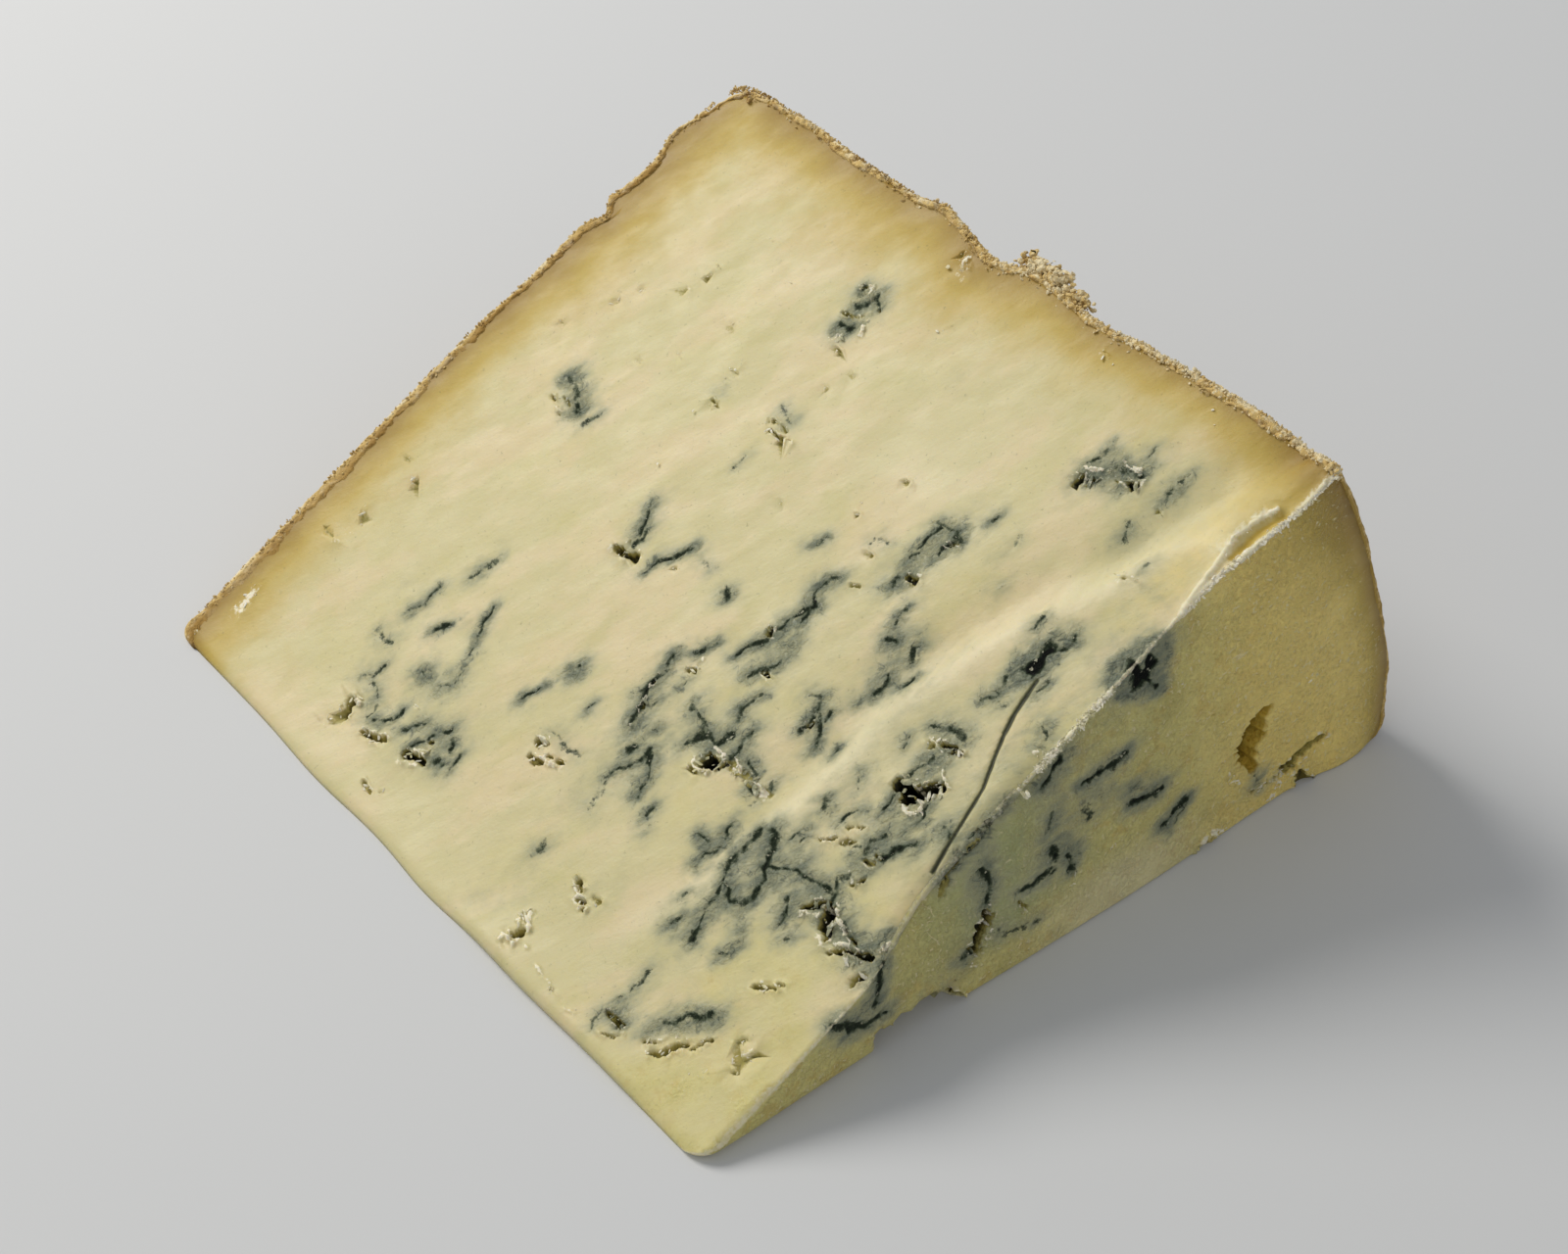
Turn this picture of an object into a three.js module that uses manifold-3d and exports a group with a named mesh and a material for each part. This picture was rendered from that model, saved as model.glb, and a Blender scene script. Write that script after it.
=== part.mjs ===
// Wedge of natural-rind blue cheese, cut from a small wheel and lying on one of its two long cut faces.
// Millimetres, +Z up. The wheel's axis is along Y: the thin tip edge is at -X, the round rind at +X,
// the flat rind at +Y and the small fan-shaped cut face at -Y.
import * as THREE from 'three';
import { mergeVertices } from 'three/addons/utils/BufferGeometryUtils.js';
import { ImprovedNoise } from 'three/addons/math/ImprovedNoise.js';
import Module from 'manifold-3d';

// Driving dimensions, in millimetres and degrees.
const wheelRadius = 100;
const sectorAngle = 26.86;
const fanFaceY = -53.2;
const flatRindY = 55.2;

// How far the wedge reaches in all. The blunt tip overhangs the wheel's axis a little.
const nearestTip = -0.5;
const farthestRind = 100.1;
const farthestFanFaceY = -54.2;
const farthestFlatRindY = 56.3;
const ridgeTop = 45.8;

const outerEdgeRadius = 5.5;
const outerEdgeSetback = 1.2;
const lowerEdgeRadius = 1.5;
const fanCornerRadius = 2.2;
const tipCornerRadius = 2.8;
const rindRoughness = 0.85;
const rindHollow = 0.8;
const cutWaviness = 0.14;

// A knife that drags makes a soft step: the face dips to the line, then stands proud past it.
const dragLine = [[-4, -18], [5, -21], [20, -27], [35, -29.5], [50, -29.5], [62, -33], [75, -39.5], [104, -50.5]];
const dragDip = 1.0;
const dragRise = 0.35;
const dragReach = 4.5;
const dragRiseBehind = 2.5;
const dragRiseReach = 2.2;

// The tip edge is a narrow facet, as the knife missed the wheel's axis. It leans back as it rises.
const tipLean = 0.3;
const tipSetback = 0.2;
const tipLift = 0.6;
const tipFacetLift = 0.9;
const tipLiftReach = 4.5;
const tipFacetFrom = [4, 14];
const tipFacetTo = [38, 46];

// The fan-shaped face leans back under the ridge, where the paste has torn away.
const ridgeSetback = 2.7;
const ridgeSetbackFrom = [22, 34];
const ridgeSetbackTo = [76, 92];
const ridgeRaggedness = 0.45;

// The fan-shaped face's foot is rounded near the tip, and swells where the weight bears on the rind's corner.
const footRadiusAtTip = 1.6;
const footRadiusAtRind = 0.6;
const footSwelling = { x: 93, stand: 1.2, reach: 4.5, heights: [1.5, 9] };

// The round rind bulges low down at the fan-shaped face.
const heel = { stand: 0.9, reach: 6, arc: 11, arcReach: 7 };

// Blocks reach past the wedge on every side, so that their uneven faces alone shape it.
const span = { x: [-6, 108], y: [-60, 62], z: [-1, 54] };
const farBehind = 90;

// Columns and rows of facets on each uneven face, and how many rows of the upper one are close together.
const upperCutGrid = [27, 31, 22];
const fanGrid = [34, 17];
const flatRindGrid = [17, 34];
const roundRindGrid = [44, 17];
const tipGrid = [34, 2];

const slant = THREE.MathUtils.degToRad(sectorAngle);
const outward = new THREE.Vector3(Math.cos(slant), 0, Math.sin(slant));
const upward = new THREE.Vector3(-Math.sin(slant), 0, Math.cos(slant));
const axisWay = new THREE.Vector3(0, 1, 0);

const wasm = await Module();
wasm.setup();
const noise = new ImprovedNoise();
const { clamp, lerp, smoothstep } = THREE.MathUtils;

// Smooth bumps from -1 to 1, about `size` millimetres apart.
function bumps(x, y, z, size, layer) {
  return noise.noise(x / size + 17.3 * layer, y / size + 5.1 * layer, z / size + 0.37);
}

// Rounded knobs between narrow furrows, as on a dry natural rind.
function knobs(x, y, z, size, layer) {
  return 0.6 - 2 * Math.abs(bumps(x, y, z, size, layer));
}

function bell(distance, reach) {
  return Math.exp(-((distance / reach) ** 2));
}

// How far a surface falls back within `radius` of an edge that it rounds into.
function edgeRound(distance, radius) {
  const into = clamp(radius - distance, 0, radius);
  return radius - Math.sqrt(radius * radius - into * into);
}

function heightAlong(points, where) {
  const next = points.findIndex((point) => point[0] >= where);
  if (next < 1) return next === 0 ? points[0][1] : points.at(-1)[1];
  const [x0, y0] = points[next - 1];
  const [x1, y1] = points[next];
  return lerp(y0, y1, (where - x0) / (x1 - x0));
}

function toSolid(geometry) {
  geometry.deleteAttribute('normal');
  geometry.deleteAttribute('uv');
  const merged = mergeVertices(geometry, 1e-4);
  return new wasm.Manifold(new wasm.Mesh({
    numProp: 3,
    vertProperties: new Float32Array(merged.attributes.position.array),
    triVerts: new Uint32Array(merged.index.array),
  }));
}

// A block with one uneven face. `face` and `back` turn (0..1, 0..1) into places on the two opposite sides.
function unevenBlock(columns, rows, face, back) {
  const block = new THREE.BoxGeometry(1, 1, 1, columns, rows, 1);
  const place = block.attributes.position;
  for (let i = 0; i < place.count; i++) {
    const side = place.getZ(i) > 0 ? face : back;
    const point = side(place.getX(i) + 0.5, place.getY(i) + 0.5);
    place.setXYZ(i, point.x, point.y, point.z);
  }
  return toSolid(block);
}

// A place on the upper long cut face: `u` from the wheel's axis, `y` along it, `height` off the face.
function onUpperCut(u, y, height) {
  return new THREE.Vector3(0, y, 0).addScaledVector(outward, u).addScaledVector(upward, height);
}

function upperCutRelief(u, y) {
  const past = y - heightAlong(dragLine, u);
  const strength = smoothstep(u, 8, 55) * (0.6 + 0.4 * smoothstep(u, 40, 70));
  const dip = past > 0 ? bell(past, dragReach) : bell(past, dragReach / 4);
  const step = dragRise * bell(past + dragRiseBehind, dragRiseReach) - dragDip * dip;
  const waves = bumps(u, y, 0, 17, 1) + 0.5 * bumps(u, y, 0, 7, 2);
  const torn = ridgeRaggedness * bumps(u, y, 0, 3.1, 3) * smoothstep(-y, 47, 52) * smoothstep(u, 20, 34);
  const facet = smoothstep(-y, ...tipFacetFrom) * (1 - smoothstep(-y, ...tipFacetTo));
  const tip = (tipLift + tipFacetLift * facet) * bell(u, tipLiftReach);
  return strength * step + cutWaviness * waves + torn + tip;
}

// Rows crowd towards the drag line, where the face changes most.
function upperCut() {
  const [columns, rows, fineRows] = upperCutGrid;
  const fineEnd = -16;
  const y = (t) => (t * rows <= fineRows
    ? lerp(span.y[0], fineEnd, (t * rows) / fineRows)
    : lerp(fineEnd, span.y[1], (t * rows - fineRows) / (rows - fineRows)));
  const u = (s) => lerp(...span.x, s);
  const face = (s, t) => onUpperCut(u(s), y(t), upperCutRelief(u(s), y(t)));
  const back = (s, t) => onUpperCut(u(s), y(t), -farBehind);
  return unevenBlock(columns, rows, face, back);
}

// Where the knife's path wandered along the tip edge.
const tipMarks = [
  { y: 22, stand: 0.55, reach: 9 },
  { y: -2, stand: 0.7, reach: 8 },
  { y: -20, stand: 0.35, reach: 9 },
];

function sumOfMarks(marks, where, along) {
  return marks.reduce((sum, mark) => sum + mark.stand * bell(where - mark[along], mark.reach), 0);
}

function tipPlace(y, z) {
  return tipSetback - sumOfMarks(tipMarks, y, 'y') + tipLean * z + cutWaviness * bumps(0, y, 0, 4.1, 11);
}

function tip() {
  const y = (s) => lerp(span.y[1], span.y[0], s);
  const z = (t) => lerp(...span.z, t);
  const face = (s, t) => new THREE.Vector3(tipPlace(y(s), z(t)), y(s), z(t));
  const back = (s, t) => new THREE.Vector3(wheelRadius + farBehind, y(s), z(t));
  return unevenBlock(...tipGrid, face, back);
}

// How far the fan-shaped face stands back at a place on it.
function fanSetback(x, z) {
  const ridgeHeight = Math.max(x * Math.tan(slant), 4);
  const rise = clamp(z / ridgeHeight, 0, 1.1);
  const torn = smoothstep(x, ...ridgeSetbackFrom) * (1 - 0.85 * smoothstep(x, ...ridgeSetbackTo));
  const lean = ridgeSetback * torn * rise ** 1.7;
  const footRadius = lerp(footRadiusAtTip, footRadiusAtRind, smoothstep(x, 25, 45));
  const low = 1 - smoothstep(z, ...footSwelling.heights);
  const swelling = footSwelling.stand * bell(x - footSwelling.x, footSwelling.reach) * low;
  const ragged = ridgeRaggedness * bumps(x, 0, z, 3.3, 4) * rise ** 4;
  const waves = 0.22 * bumps(x, 0, z, 12, 5) + 0.12 * bumps(x, 0, z, 5, 6);
  return lean + edgeRound(z, footRadius) + edgeRound(x, tipCornerRadius) + ragged + waves - swelling;
}

function fanFace() {
  const x = (s) => lerp(...span.x, s);
  const z = (t) => lerp(...span.z, t);
  const face = (s, t) => new THREE.Vector3(x(s), fanFaceY + fanSetback(x(s), z(t)), z(t));
  const back = (s, t) => new THREE.Vector3(x(s), farBehind, z(t));
  return unevenBlock(...fanGrid, face, back);
}

// How far the flat rind bows out along X, and the places where it stands out or has chipped.
const flatRindBow = [[0, 0.3], [10, 0.7], [40, 0.7], [50, 0], [58, -0.5], [66, -1.2], [74, -1.9], [90, -2.4]];
const flatRindMarks = [
  { x: 49, stand: 0.4, reach: 4 },
  { x: 63, stand: 0.5, reach: 2.5 },
  { x: 66.9, stand: -1.2, reach: 1.3 },
  { x: 69, stand: 0.8, reach: 1.8 },
  { x: 79, stand: 1.2, reach: 2.2 },
];

function flatRindStand(x, z) {
  const near = smoothstep(z, x * Math.tan(slant) - 14, x * Math.tan(slant));
  const crags = knobs(x, 7, z, 9, 7) + 0.5 * knobs(x, 7, z, 4.3, 8);
  const bow = heightAlong(flatRindBow, x) + sumOfMarks(flatRindMarks, x, 'x') * near;
  return bow + rindRoughness * 0.7 * crags - edgeRound(x, 2);
}

function flatRind() {
  const z = (s) => lerp(...span.z, s);
  const x = (t) => lerp(...span.x, t);
  const face = (s, t) => new THREE.Vector3(x(t), flatRindY + flatRindStand(x(t), z(s)), z(s));
  const back = (s, t) => new THREE.Vector3(x(t), -farBehind, z(s));
  return unevenBlock(...flatRindGrid, face, back);
}

// Worn places and swellings of the round rind, along the wheel's axis.
const roundRindMarks = [
  { y: 46, stand: 0.4, reach: 2.5 },
  { y: 38, stand: 0.5, reach: 6 },
  { y: 12, stand: 1.0, reach: 2.6 },
  { y: 1.5, stand: -1.4, reach: 4 },
  { y: -16, stand: -0.9, reach: 6 },
  { y: -40, stand: 0.5, reach: 8 },
];

function roundRindRadius(y, turn) {
  const x = wheelRadius * Math.cos(turn);
  const z = wheelRadius * Math.sin(turn);
  const marks = sumOfMarks(roundRindMarks, y, 'y');
  const near = 0.35 + 0.65 * smoothstep(turn / slant, 0.5, 1);
  const bulge = heel.stand * bell(y - fanFaceY, heel.reach) * bell(wheelRadius * turn - heel.arc, heel.arcReach);
  const crags = knobs(x, y, z, 8, 9) + 0.55 * knobs(x, y, z, 4, 10);
  const fanCorner = edgeRound(wheelRadius * turn, fanCornerRadius) * smoothstep(-y, 30, 50);
  const outerEdge = edgeRound(flatRindY - outerEdgeSetback - y, outerEdgeRadius);
  const lowerEdge = edgeRound(wheelRadius * turn, lowerEdgeRadius);
  return wheelRadius - rindHollow + marks * near + bulge + rindRoughness * crags - fanCorner - outerEdge - lowerEdge;
}

function roundRind() {
  const y = (s) => lerp(...span.y, s);
  const turn = (t) => lerp(-0.01, slant + 0.05, t);
  const face = (s, t) => {
    const radius = roundRindRadius(y(s), turn(t));
    return new THREE.Vector3(radius * Math.cos(turn(t)), y(s), radius * Math.sin(turn(t)));
  };
  const back = (s, t) => new THREE.Vector3(-farBehind, y(s), lerp(...span.z, t));
  return unevenBlock(...roundRindGrid, face, back);
}

// The box that holds the wedge. Its floor is the lower cut face, which the wedge rests on.
const reach = new THREE.Box3(
  new THREE.Vector3(nearestTip, farthestFanFaceY, 0),
  new THREE.Vector3(farthestRind, farthestFlatRindY, ridgeTop));

function reachBlock() {
  const size = reach.getSize(new THREE.Vector3());
  const middle = reach.getCenter(new THREE.Vector3());
  const block = new THREE.BoxGeometry(size.x, size.y, size.z);
  block.translate(middle.x, middle.y, middle.z);
  return toSolid(block);
}

// A knobbly lump: a ball pushed in and out, stretched to `size` and set at a place on a face.
function lump(place, size, turnDegrees, face, detail, layer) {
  const ball = new THREE.IcosahedronGeometry(1, detail);
  const at = ball.attributes.position;
  const point = new THREE.Vector3();
  for (let i = 0; i < at.count; i++) {
    point.fromBufferAttribute(at, i);
    point.multiplyScalar(1 + 0.42 * bumps(point.x, point.y, point.z, 0.9, layer));
    at.setXYZ(i, point.x, point.y, point.z);
  }
  ball.scale(size[0] / 2, size[1] / 2, size[2]);
  ball.rotateZ(THREE.MathUtils.degToRad(turnDegrees));
  ball.applyMatrix4(face);
  ball.translate(place.x, place.y, place.z);
  return toSolid(ball);
}

const upperCutTurn = new THREE.Matrix4().makeBasis(outward, axisWay, upward);
const fanTurn = new THREE.Matrix4().makeBasis(
  new THREE.Vector3(1, 0, 0), new THREE.Vector3(0, 0, 1), new THREE.Vector3(0, -1, 0));

// Openings of the mould veins and places where crumb has pulled out of the upper cut face.
// at: distance from the wheel's axis, place along it. size: length, width, depth. turn: degrees.
const upperPits = [
  { at: [8.4, 26.0], size: [3.0, 1.7, 1.3], turn: 60 },
  { at: [8.0, 20.9], size: [4.4, 1.1, 1.0], turn: -66 },
  { at: [9.4, 13.7], size: [4.2, 1.7, 1.5], turn: -68 },
  { at: [4.0, -15.8], size: [4.6, 2.6, 1.2], turn: 5 },
  { at: [12.5, -17.8], size: [5.4, 1.6, 1.2], turn: 68 },
  { at: [19.3, -0.8], size: [4.2, 1.3, 1.2], turn: -80 },
  { at: [21.0, 0.9], size: [2.6, 2.0, 1.2], turn: 40 },
  { at: [32.0, -18.1], size: [3.2, 2.2, 2.8], turn: 75 },
  { at: [33.5, -23.4], size: [8.0, 1.2, 1.0], turn: -84 },
  { at: [30.4, -6.9], size: [5.2, 1.3, 0.9], turn: 30 },
  { at: [36.2, -4.8], size: [4.6, 1.2, 0.9], turn: 12 },
  { at: [43.7, 11.3], size: [4.0, 2.0, 1.6], turn: 95 },
  { at: [52.2, 36.4], size: [4.2, 1.1, 0.8], turn: 62 },
  { at: [65.3, 6.7], size: [3.6, 1.1, 1.0], turn: 86 },
  { at: [62.1, -21.6], size: [2.4, 1.5, 1.2], turn: -60 },
  { at: [67.8, -22.2], size: [3.0, 1.3, 1.0], turn: -65 },
  { at: [82.6, 11.0], size: [7.4, 2.6, 0.9], turn: 6 },
  { at: [95.4, 4.4], size: [4.4, 3.4, 1.0], turn: -30 },
  { at: [82.4, -29.4], size: [3.8, 1.7, 1.3], turn: -38 },
  { at: [85.1, -34.2], size: [3.0, 2.0, 2.4], turn: -70 },
  { at: [76.4, -42.7], size: [3.2, 1.5, 0.9], turn: -62 },
  { at: [43.3, -40.2], size: [3.8, 2.2, 5.0], turn: 75 },
  { at: [45.0, -42.2], size: [4.6, 2.2, 5.2], turn: -35 },
  { at: [28.4, -42.6], size: [5.0, 2.2, 1.8], turn: -62 },
  { at: [27.6, -46.8], size: [5.4, 1.8, 1.7], turn: 78 },
  { at: [27.4, -50.6], size: [4.2, 2.2, 2.0], turn: -60 },
  { at: [6.8, -41.0], size: [4.6, 1.1, 0.9], turn: -38 },
  { at: [4.9, -32.6], size: [3.6, 1.3, 1.0], turn: 88 },
  { at: [34.4, -37.6], size: [4.4, 1.3, 0.9], turn: -52 },
  { at: [50.4, -40.2], size: [4.0, 1.3, 1.1], turn: -58 },
  { at: [64.2, -41.4], size: [3.6, 1.8, 1.4], turn: -18 },
  { at: [56.0, -44.4], size: [13.0, 1.0, 0.6], turn: 17 },
  { at: [87.5, -50.9], size: [9.6, 1.7, 1.2], turn: -5 },
  { at: [44.0, -51.4], size: [9.0, 1.4, 0.9], turn: 4 },
];

// Holes in the fan-shaped face and chips from its lower edge. at: distance along X, height.
const fanPits = [
  { at: [77.2, 12.3], size: [9.6, 4.4, 4.0], turn: 48 },
  { at: [78.2, 8.4], size: [2.8, 1.6, 1.6], turn: -50 },
  { at: [38.9, 7.8], size: [5.6, 2.2, 3.2], turn: 62 },
  { at: [29.6, 0.8], size: [12.6, 5.8, 4.0], turn: 0 },
  { at: [85.6, 4.6], size: [7.0, 2.6, 2.4], turn: 18 },
  { at: [86.2, 1.0], size: [3.0, 3.4, 2.6], turn: 80 },
  { at: [62.9, 30.0], size: [4.4, 2.2, 1.0], turn: -50 },
  { at: [38.6, 18.0], size: [6.2, 1.4, 0.8], turn: 26 },
];

// Torn flakes that stand up at the mouths of the pits. at and turn as for the pits, size: length, width, rise.
const upperFlakes = [
  { at: [6.2, -15.6], size: [2.6, 1.0, 0.5], turn: 70 },
  { at: [11.0, -18.0], size: [3.4, 1.0, 0.5], turn: 72 },
  { at: [20.2, -1.4], size: [3.4, 0.9, 0.5], turn: -84 },
  { at: [33.4, -18.6], size: [2.8, 1.2, 0.6], turn: 60 },
  { at: [42.4, -42.6], size: [3.2, 1.2, 0.7], turn: -55 },
  { at: [29.0, -44.4], size: [3.6, 1.1, 0.6], turn: 82 },
  { at: [26.2, -47.6], size: [3.4, 1.0, 0.5], turn: -60 },
  { at: [84.0, -30.4], size: [3.4, 1.3, 0.6], turn: -50 },
  { at: [86.8, -33.2], size: [3.0, 1.6, 0.6], turn: -60 },
  { at: [86.0, -49.5], size: [8.0, 1.0, 0.5], turn: 3 },
  { at: [72.8, -50.8], size: [3.6, 1.1, 0.5], turn: 4 },
];

// Crumbs of rind that stand proud of the round side near its upper edge. at: along Y, down from the edge.
const rindCrumbs = [
  { at: [-3.6, 0.8], size: [3.8, 3.2, 2.4] },
  { at: [-6.4, 1.4], size: [4.4, 5.0, 2.6] },
  { at: [-11.4, 1.2], size: [4.6, 3.8, 1.3] },
  { at: [12.6, 1.6], size: [3.4, 3.2, 1.0] },
  { at: [47.4, 1.4], size: [3.0, 2.6, 1.4] },
  { at: [-30.8, 1.2], size: [2.8, 2.6, 1.0] },
];

// Deep pits are rounder than shallow ones.
function ballDetail(size) {
  return size[2] > 3.5 ? 2 : 1;
}

function onUpperCutLumps(marks, firstLayer) {
  return marks.map(({ at, size, turn }, i) => lump(
    onUpperCut(at[0], at[1], upperCutRelief(...at)), size, turn, upperCutTurn, ballDetail(size), firstLayer + i));
}

function fanPitLumps() {
  return fanPits.map(({ at, size, turn }, i) => lump(
    new THREE.Vector3(at[0], fanFaceY + fanSetback(...at), at[1]), size, turn, fanTurn, ballDetail(size), 50 + i));
}

function crumbLumps() {
  return rindCrumbs.map((crumb, i) => {
    const turn = slant - crumb.at[1] / wheelRadius;
    const radius = roundRindRadius(crumb.at[0], turn) - 0.2;
    const place = new THREE.Vector3(radius * Math.cos(turn), crumb.at[0], radius * Math.sin(turn));
    const face = new THREE.Matrix4().makeRotationY(Math.PI / 2 - turn);
    return lump(place, [crumb.size[1], crumb.size[0], crumb.size[2]], 0, face, 1, 80 + i);
  });
}

function cheeseWedge() {
  let body = upperCut().intersect(fanFace()).intersect(flatRind()).intersect(roundRind()).intersect(tip());
  for (const crumb of crumbLumps()) {
    body = body.add(crumb);
  }
  for (const pit of [...onUpperCutLumps(upperPits, 1), ...fanPitLumps()]) {
    body = body.subtract(pit);
  }
  for (const flake of onUpperCutLumps(upperFlakes, 90)) {
    body = body.add(flake);
  }
  const result = body.intersect(reachBlock()).getMesh();
  const geometry = new THREE.BufferGeometry();
  geometry.setAttribute('position', new THREE.BufferAttribute(new Float32Array(result.vertProperties), 3));
  geometry.setIndex(new THREE.BufferAttribute(new Uint32Array(result.triVerts), 1));
  geometry.computeVertexNormals();
  return geometry;
}

// The origin is under the middle of the wedge, on the surface it rests on.
const middle = reach.getCenter(new THREE.Vector3());
const paste = new THREE.MeshStandardMaterial({ color: '#d8caa0', roughness: 0.55, metalness: 0, flatShading: true });
const wedge = new THREE.Mesh(cheeseWedge(), paste);
wedge.name = 'cheese_wedge';
wedge.position.set(-middle.x, -middle.y, 0);

const part = new THREE.Group();
part.add(wedge);
export default part;
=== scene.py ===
import math

import bmesh
import bpy
import numpy as np
from mathutils import Matrix, Vector, noise


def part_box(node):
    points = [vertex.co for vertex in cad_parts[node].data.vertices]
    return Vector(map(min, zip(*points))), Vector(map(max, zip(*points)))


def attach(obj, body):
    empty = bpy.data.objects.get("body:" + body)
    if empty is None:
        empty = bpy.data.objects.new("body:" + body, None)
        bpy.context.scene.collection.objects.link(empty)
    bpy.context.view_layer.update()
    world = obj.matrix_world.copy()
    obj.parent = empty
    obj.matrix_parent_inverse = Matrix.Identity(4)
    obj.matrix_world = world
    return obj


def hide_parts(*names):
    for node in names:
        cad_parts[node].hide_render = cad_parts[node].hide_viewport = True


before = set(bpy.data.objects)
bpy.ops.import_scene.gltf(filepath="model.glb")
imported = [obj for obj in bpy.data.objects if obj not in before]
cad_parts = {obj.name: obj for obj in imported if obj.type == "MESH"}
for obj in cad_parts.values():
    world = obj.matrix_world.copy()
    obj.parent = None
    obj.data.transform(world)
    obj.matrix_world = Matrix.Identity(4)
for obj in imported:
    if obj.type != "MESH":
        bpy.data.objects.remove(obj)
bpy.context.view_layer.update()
print("frame loaded")

# Lengths here are millimetres from the wheel's axis (X), along it (Y) and up from the lower cut face (Z).
# The wedge lies on that face. Its thin tip edge is the wheel's axis.
wheel = {
    "radius": 99.1,                  # to the middle of the round rind's bumps
    "turn": math.radians(26.86),     # between the two long cut faces
    "fanY": -53.2,                   # the small fan-shaped cut face
    "flatY": 55.2,                   # the flat rind
    "tipCorner": 2.8,
    "fanCorner": 2.2,
    "outerEdge": 5.5,
    "lowerEdge": 1.5,
    "rindThick": 2.2,
}
farthest = {"tipX": -0.5, "fanY": -54.2}    # how far the wedge goes in these two directions
dragLine = [(-4, -18), (5, -21), (20, -27), (35, -29.5), (50, -29.5), (62, -33), (75, -39.5), (104, -50.5)]
flatBow = [(0, 0.3), (10, 0.7), (40, 0.7), (50, 0), (58, -0.5), (66, -1.2), (74, -1.9), (90, -2.4)]
# Places that stand out: (place, how far out, reach to either side).
roundMarks = [(46, 0.4, 2.5), (38, 0.5, 6), (12, 1.0, 2.6), (1.5, -1.4, 4), (-16, -0.9, 6), (-40, 0.5, 8)]
flatMarks = [(49, 0.4, 4), (63, 0.5, 2.5), (66.9, -1.2, 1.3), (69, 0.8, 1.8), (79, 1.2, 2.2)]
tipMarks = [(22, 0.55, 9), (-2, 0.7, 8), (-20, 0.35, 9)]
# The blunt tip: the facet's places along the edge (start, full, fade, end), and how far the face stands up.
tip = {
    "facet": (4, 14, 38, 46), "lift": 0.7, "facetLift": 0.8, "reach": 4.5, "rounding": 1.5,
    "line": 0.2, "bowReach": 9,
}
# The knife's drag line: a crest before it, and past it a step down into a dip, from its start outwards.
drag = {
    "crest": 0.35, "crestBefore": 2.5, "crestReach": 2.2, "dip": 1.0, "dipReach": 4.5, "stepReach": 1.1,
    "from": (8, 55), "shallow": 0.6, "deeperFrom": (40, 70),
}
# The small fan face: how its torn middle leans back towards the ridge, how its foot is rounded, the foot's
# swellings as (place, reach, amount, heights between which they fade), and the notch in the foot.
fanForm = {
    "lean": 2.7, "leanCurve": 1.7, "leastHeight": 4, "highest": 1.1,
    "torn": (22, 34), "clean": 0.85, "cleanFrom": (70, 86),
    "tipFoot": 1.6, "foot": 0.6, "footFrom": (25, 45),
    "swellings": [(93, 4.5, 1.2, 1.5, 9), (62, 20, 0.4, 2, 8)],
    "notch": 3.4, "notchPlaces": (23.4, 24.0, 33.5, 35.5), "notchTop": (2.9, 3.4),
    "jags": [(1.9, 0.3), (4.3, 0.25)],
}
# The round rind: how much of its marks is left low down, its bulge beside the fan face, and its edges.
roundForm = {
    "marksLow": 0.35, "marksFrom": (0.5, 1), "fanCornerFrom": (30, 50), "edgeInset": 1.2,
    "bulge": 0.9, "bulgeReach": 6, "bulgeHeight": 11, "bulgeHeightReach": 7,
}
flatForm = {"marksReach": 14, "tipRound": 2}
bend = {"ends": 10, "upper": 6}              # powers that keep each side's form near that side

nodeLow, nodeHigh = (np.array(corner) * 1000 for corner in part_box("cheese_wedge"))
axisPlace = np.array([nodeLow[0] - farthest["tipX"], nodeLow[1] - farthest["fanY"], 0])
outward = np.array([math.cos(wheel["turn"]), 0, math.sin(wheel["turn"])])
upward = np.array([-math.sin(wheel["turn"]), 0, math.cos(wheel["turn"])])


def smooth(value, start, stop):
    t = np.clip((value - start) / (stop - start), 0, 1)
    return t * t * (3 - 2 * t)


# Rises from start to full, and falls from fade to end.
def band(value, start, full, fade, end):
    return smooth(value, start, full) * (1 - smooth(value, fade, end))


def bell(distance, reach):
    return np.exp(-(distance / reach) ** 2)


def near(value, middle, reach):
    return bell(value - middle, reach)


# How far a surface falls back within radius of an edge that it rounds into.
def edgeRound(distance, radius):
    into = np.clip(radius - distance, 0, radius)
    return radius - np.sqrt(radius ** 2 - into ** 2)


seedStep = (7.13, 3.71, 1.37)        # how far apart in the noise two seeds lie


# Rolling noise, about -1 to 1, with lumps about size millimetres across.
def bumps(points, size, seed):
    shift = Vector([seed * step for step in seedStep])
    return np.array([noise.noise(Vector(p) + shift) for p in (np.asarray(points) / size).tolist()])


# Three such noises at each point, as a vector. The library's own vector noise differs from run to run.
def bumpVectors(points, size, seed):
    return np.column_stack([bumps(points, size, seed + other) for other in (0, 100, 200)])


# Noise in layers, each (size, amount, seed), added to a middle value.
def layered(points, layers, middle=0.0):
    for size, amount, seed in layers:
        middle = middle + amount * bumps(points, size, seed)
    return middle


# The same, kept within limits.
def varied(points, layers, least, most, middle=1.0):
    return np.clip(layered(points, layers, middle), least, most)


def markSum(where, marks):
    return sum(stand * bell(where - at, reach) for at, stand, reach in marks)


# The wedge's form is shared by the paste, the rind and every mark on them.

def tipLine(y):
    return tip["line"] - markSum(y, tipMarks)


# The knife missed the wheel's axis, so the face stands up behind a narrow facet along the tip edge.
def tipLift(u, y):
    rounded = np.sqrt(1 - (1 - np.clip(u / tip["rounding"], 0, 1)) ** 2)
    return (tip["lift"] + tip["facetLift"] * band(-y, *tip["facet"])) * bell(u, tip["reach"]) * rounded


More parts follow.
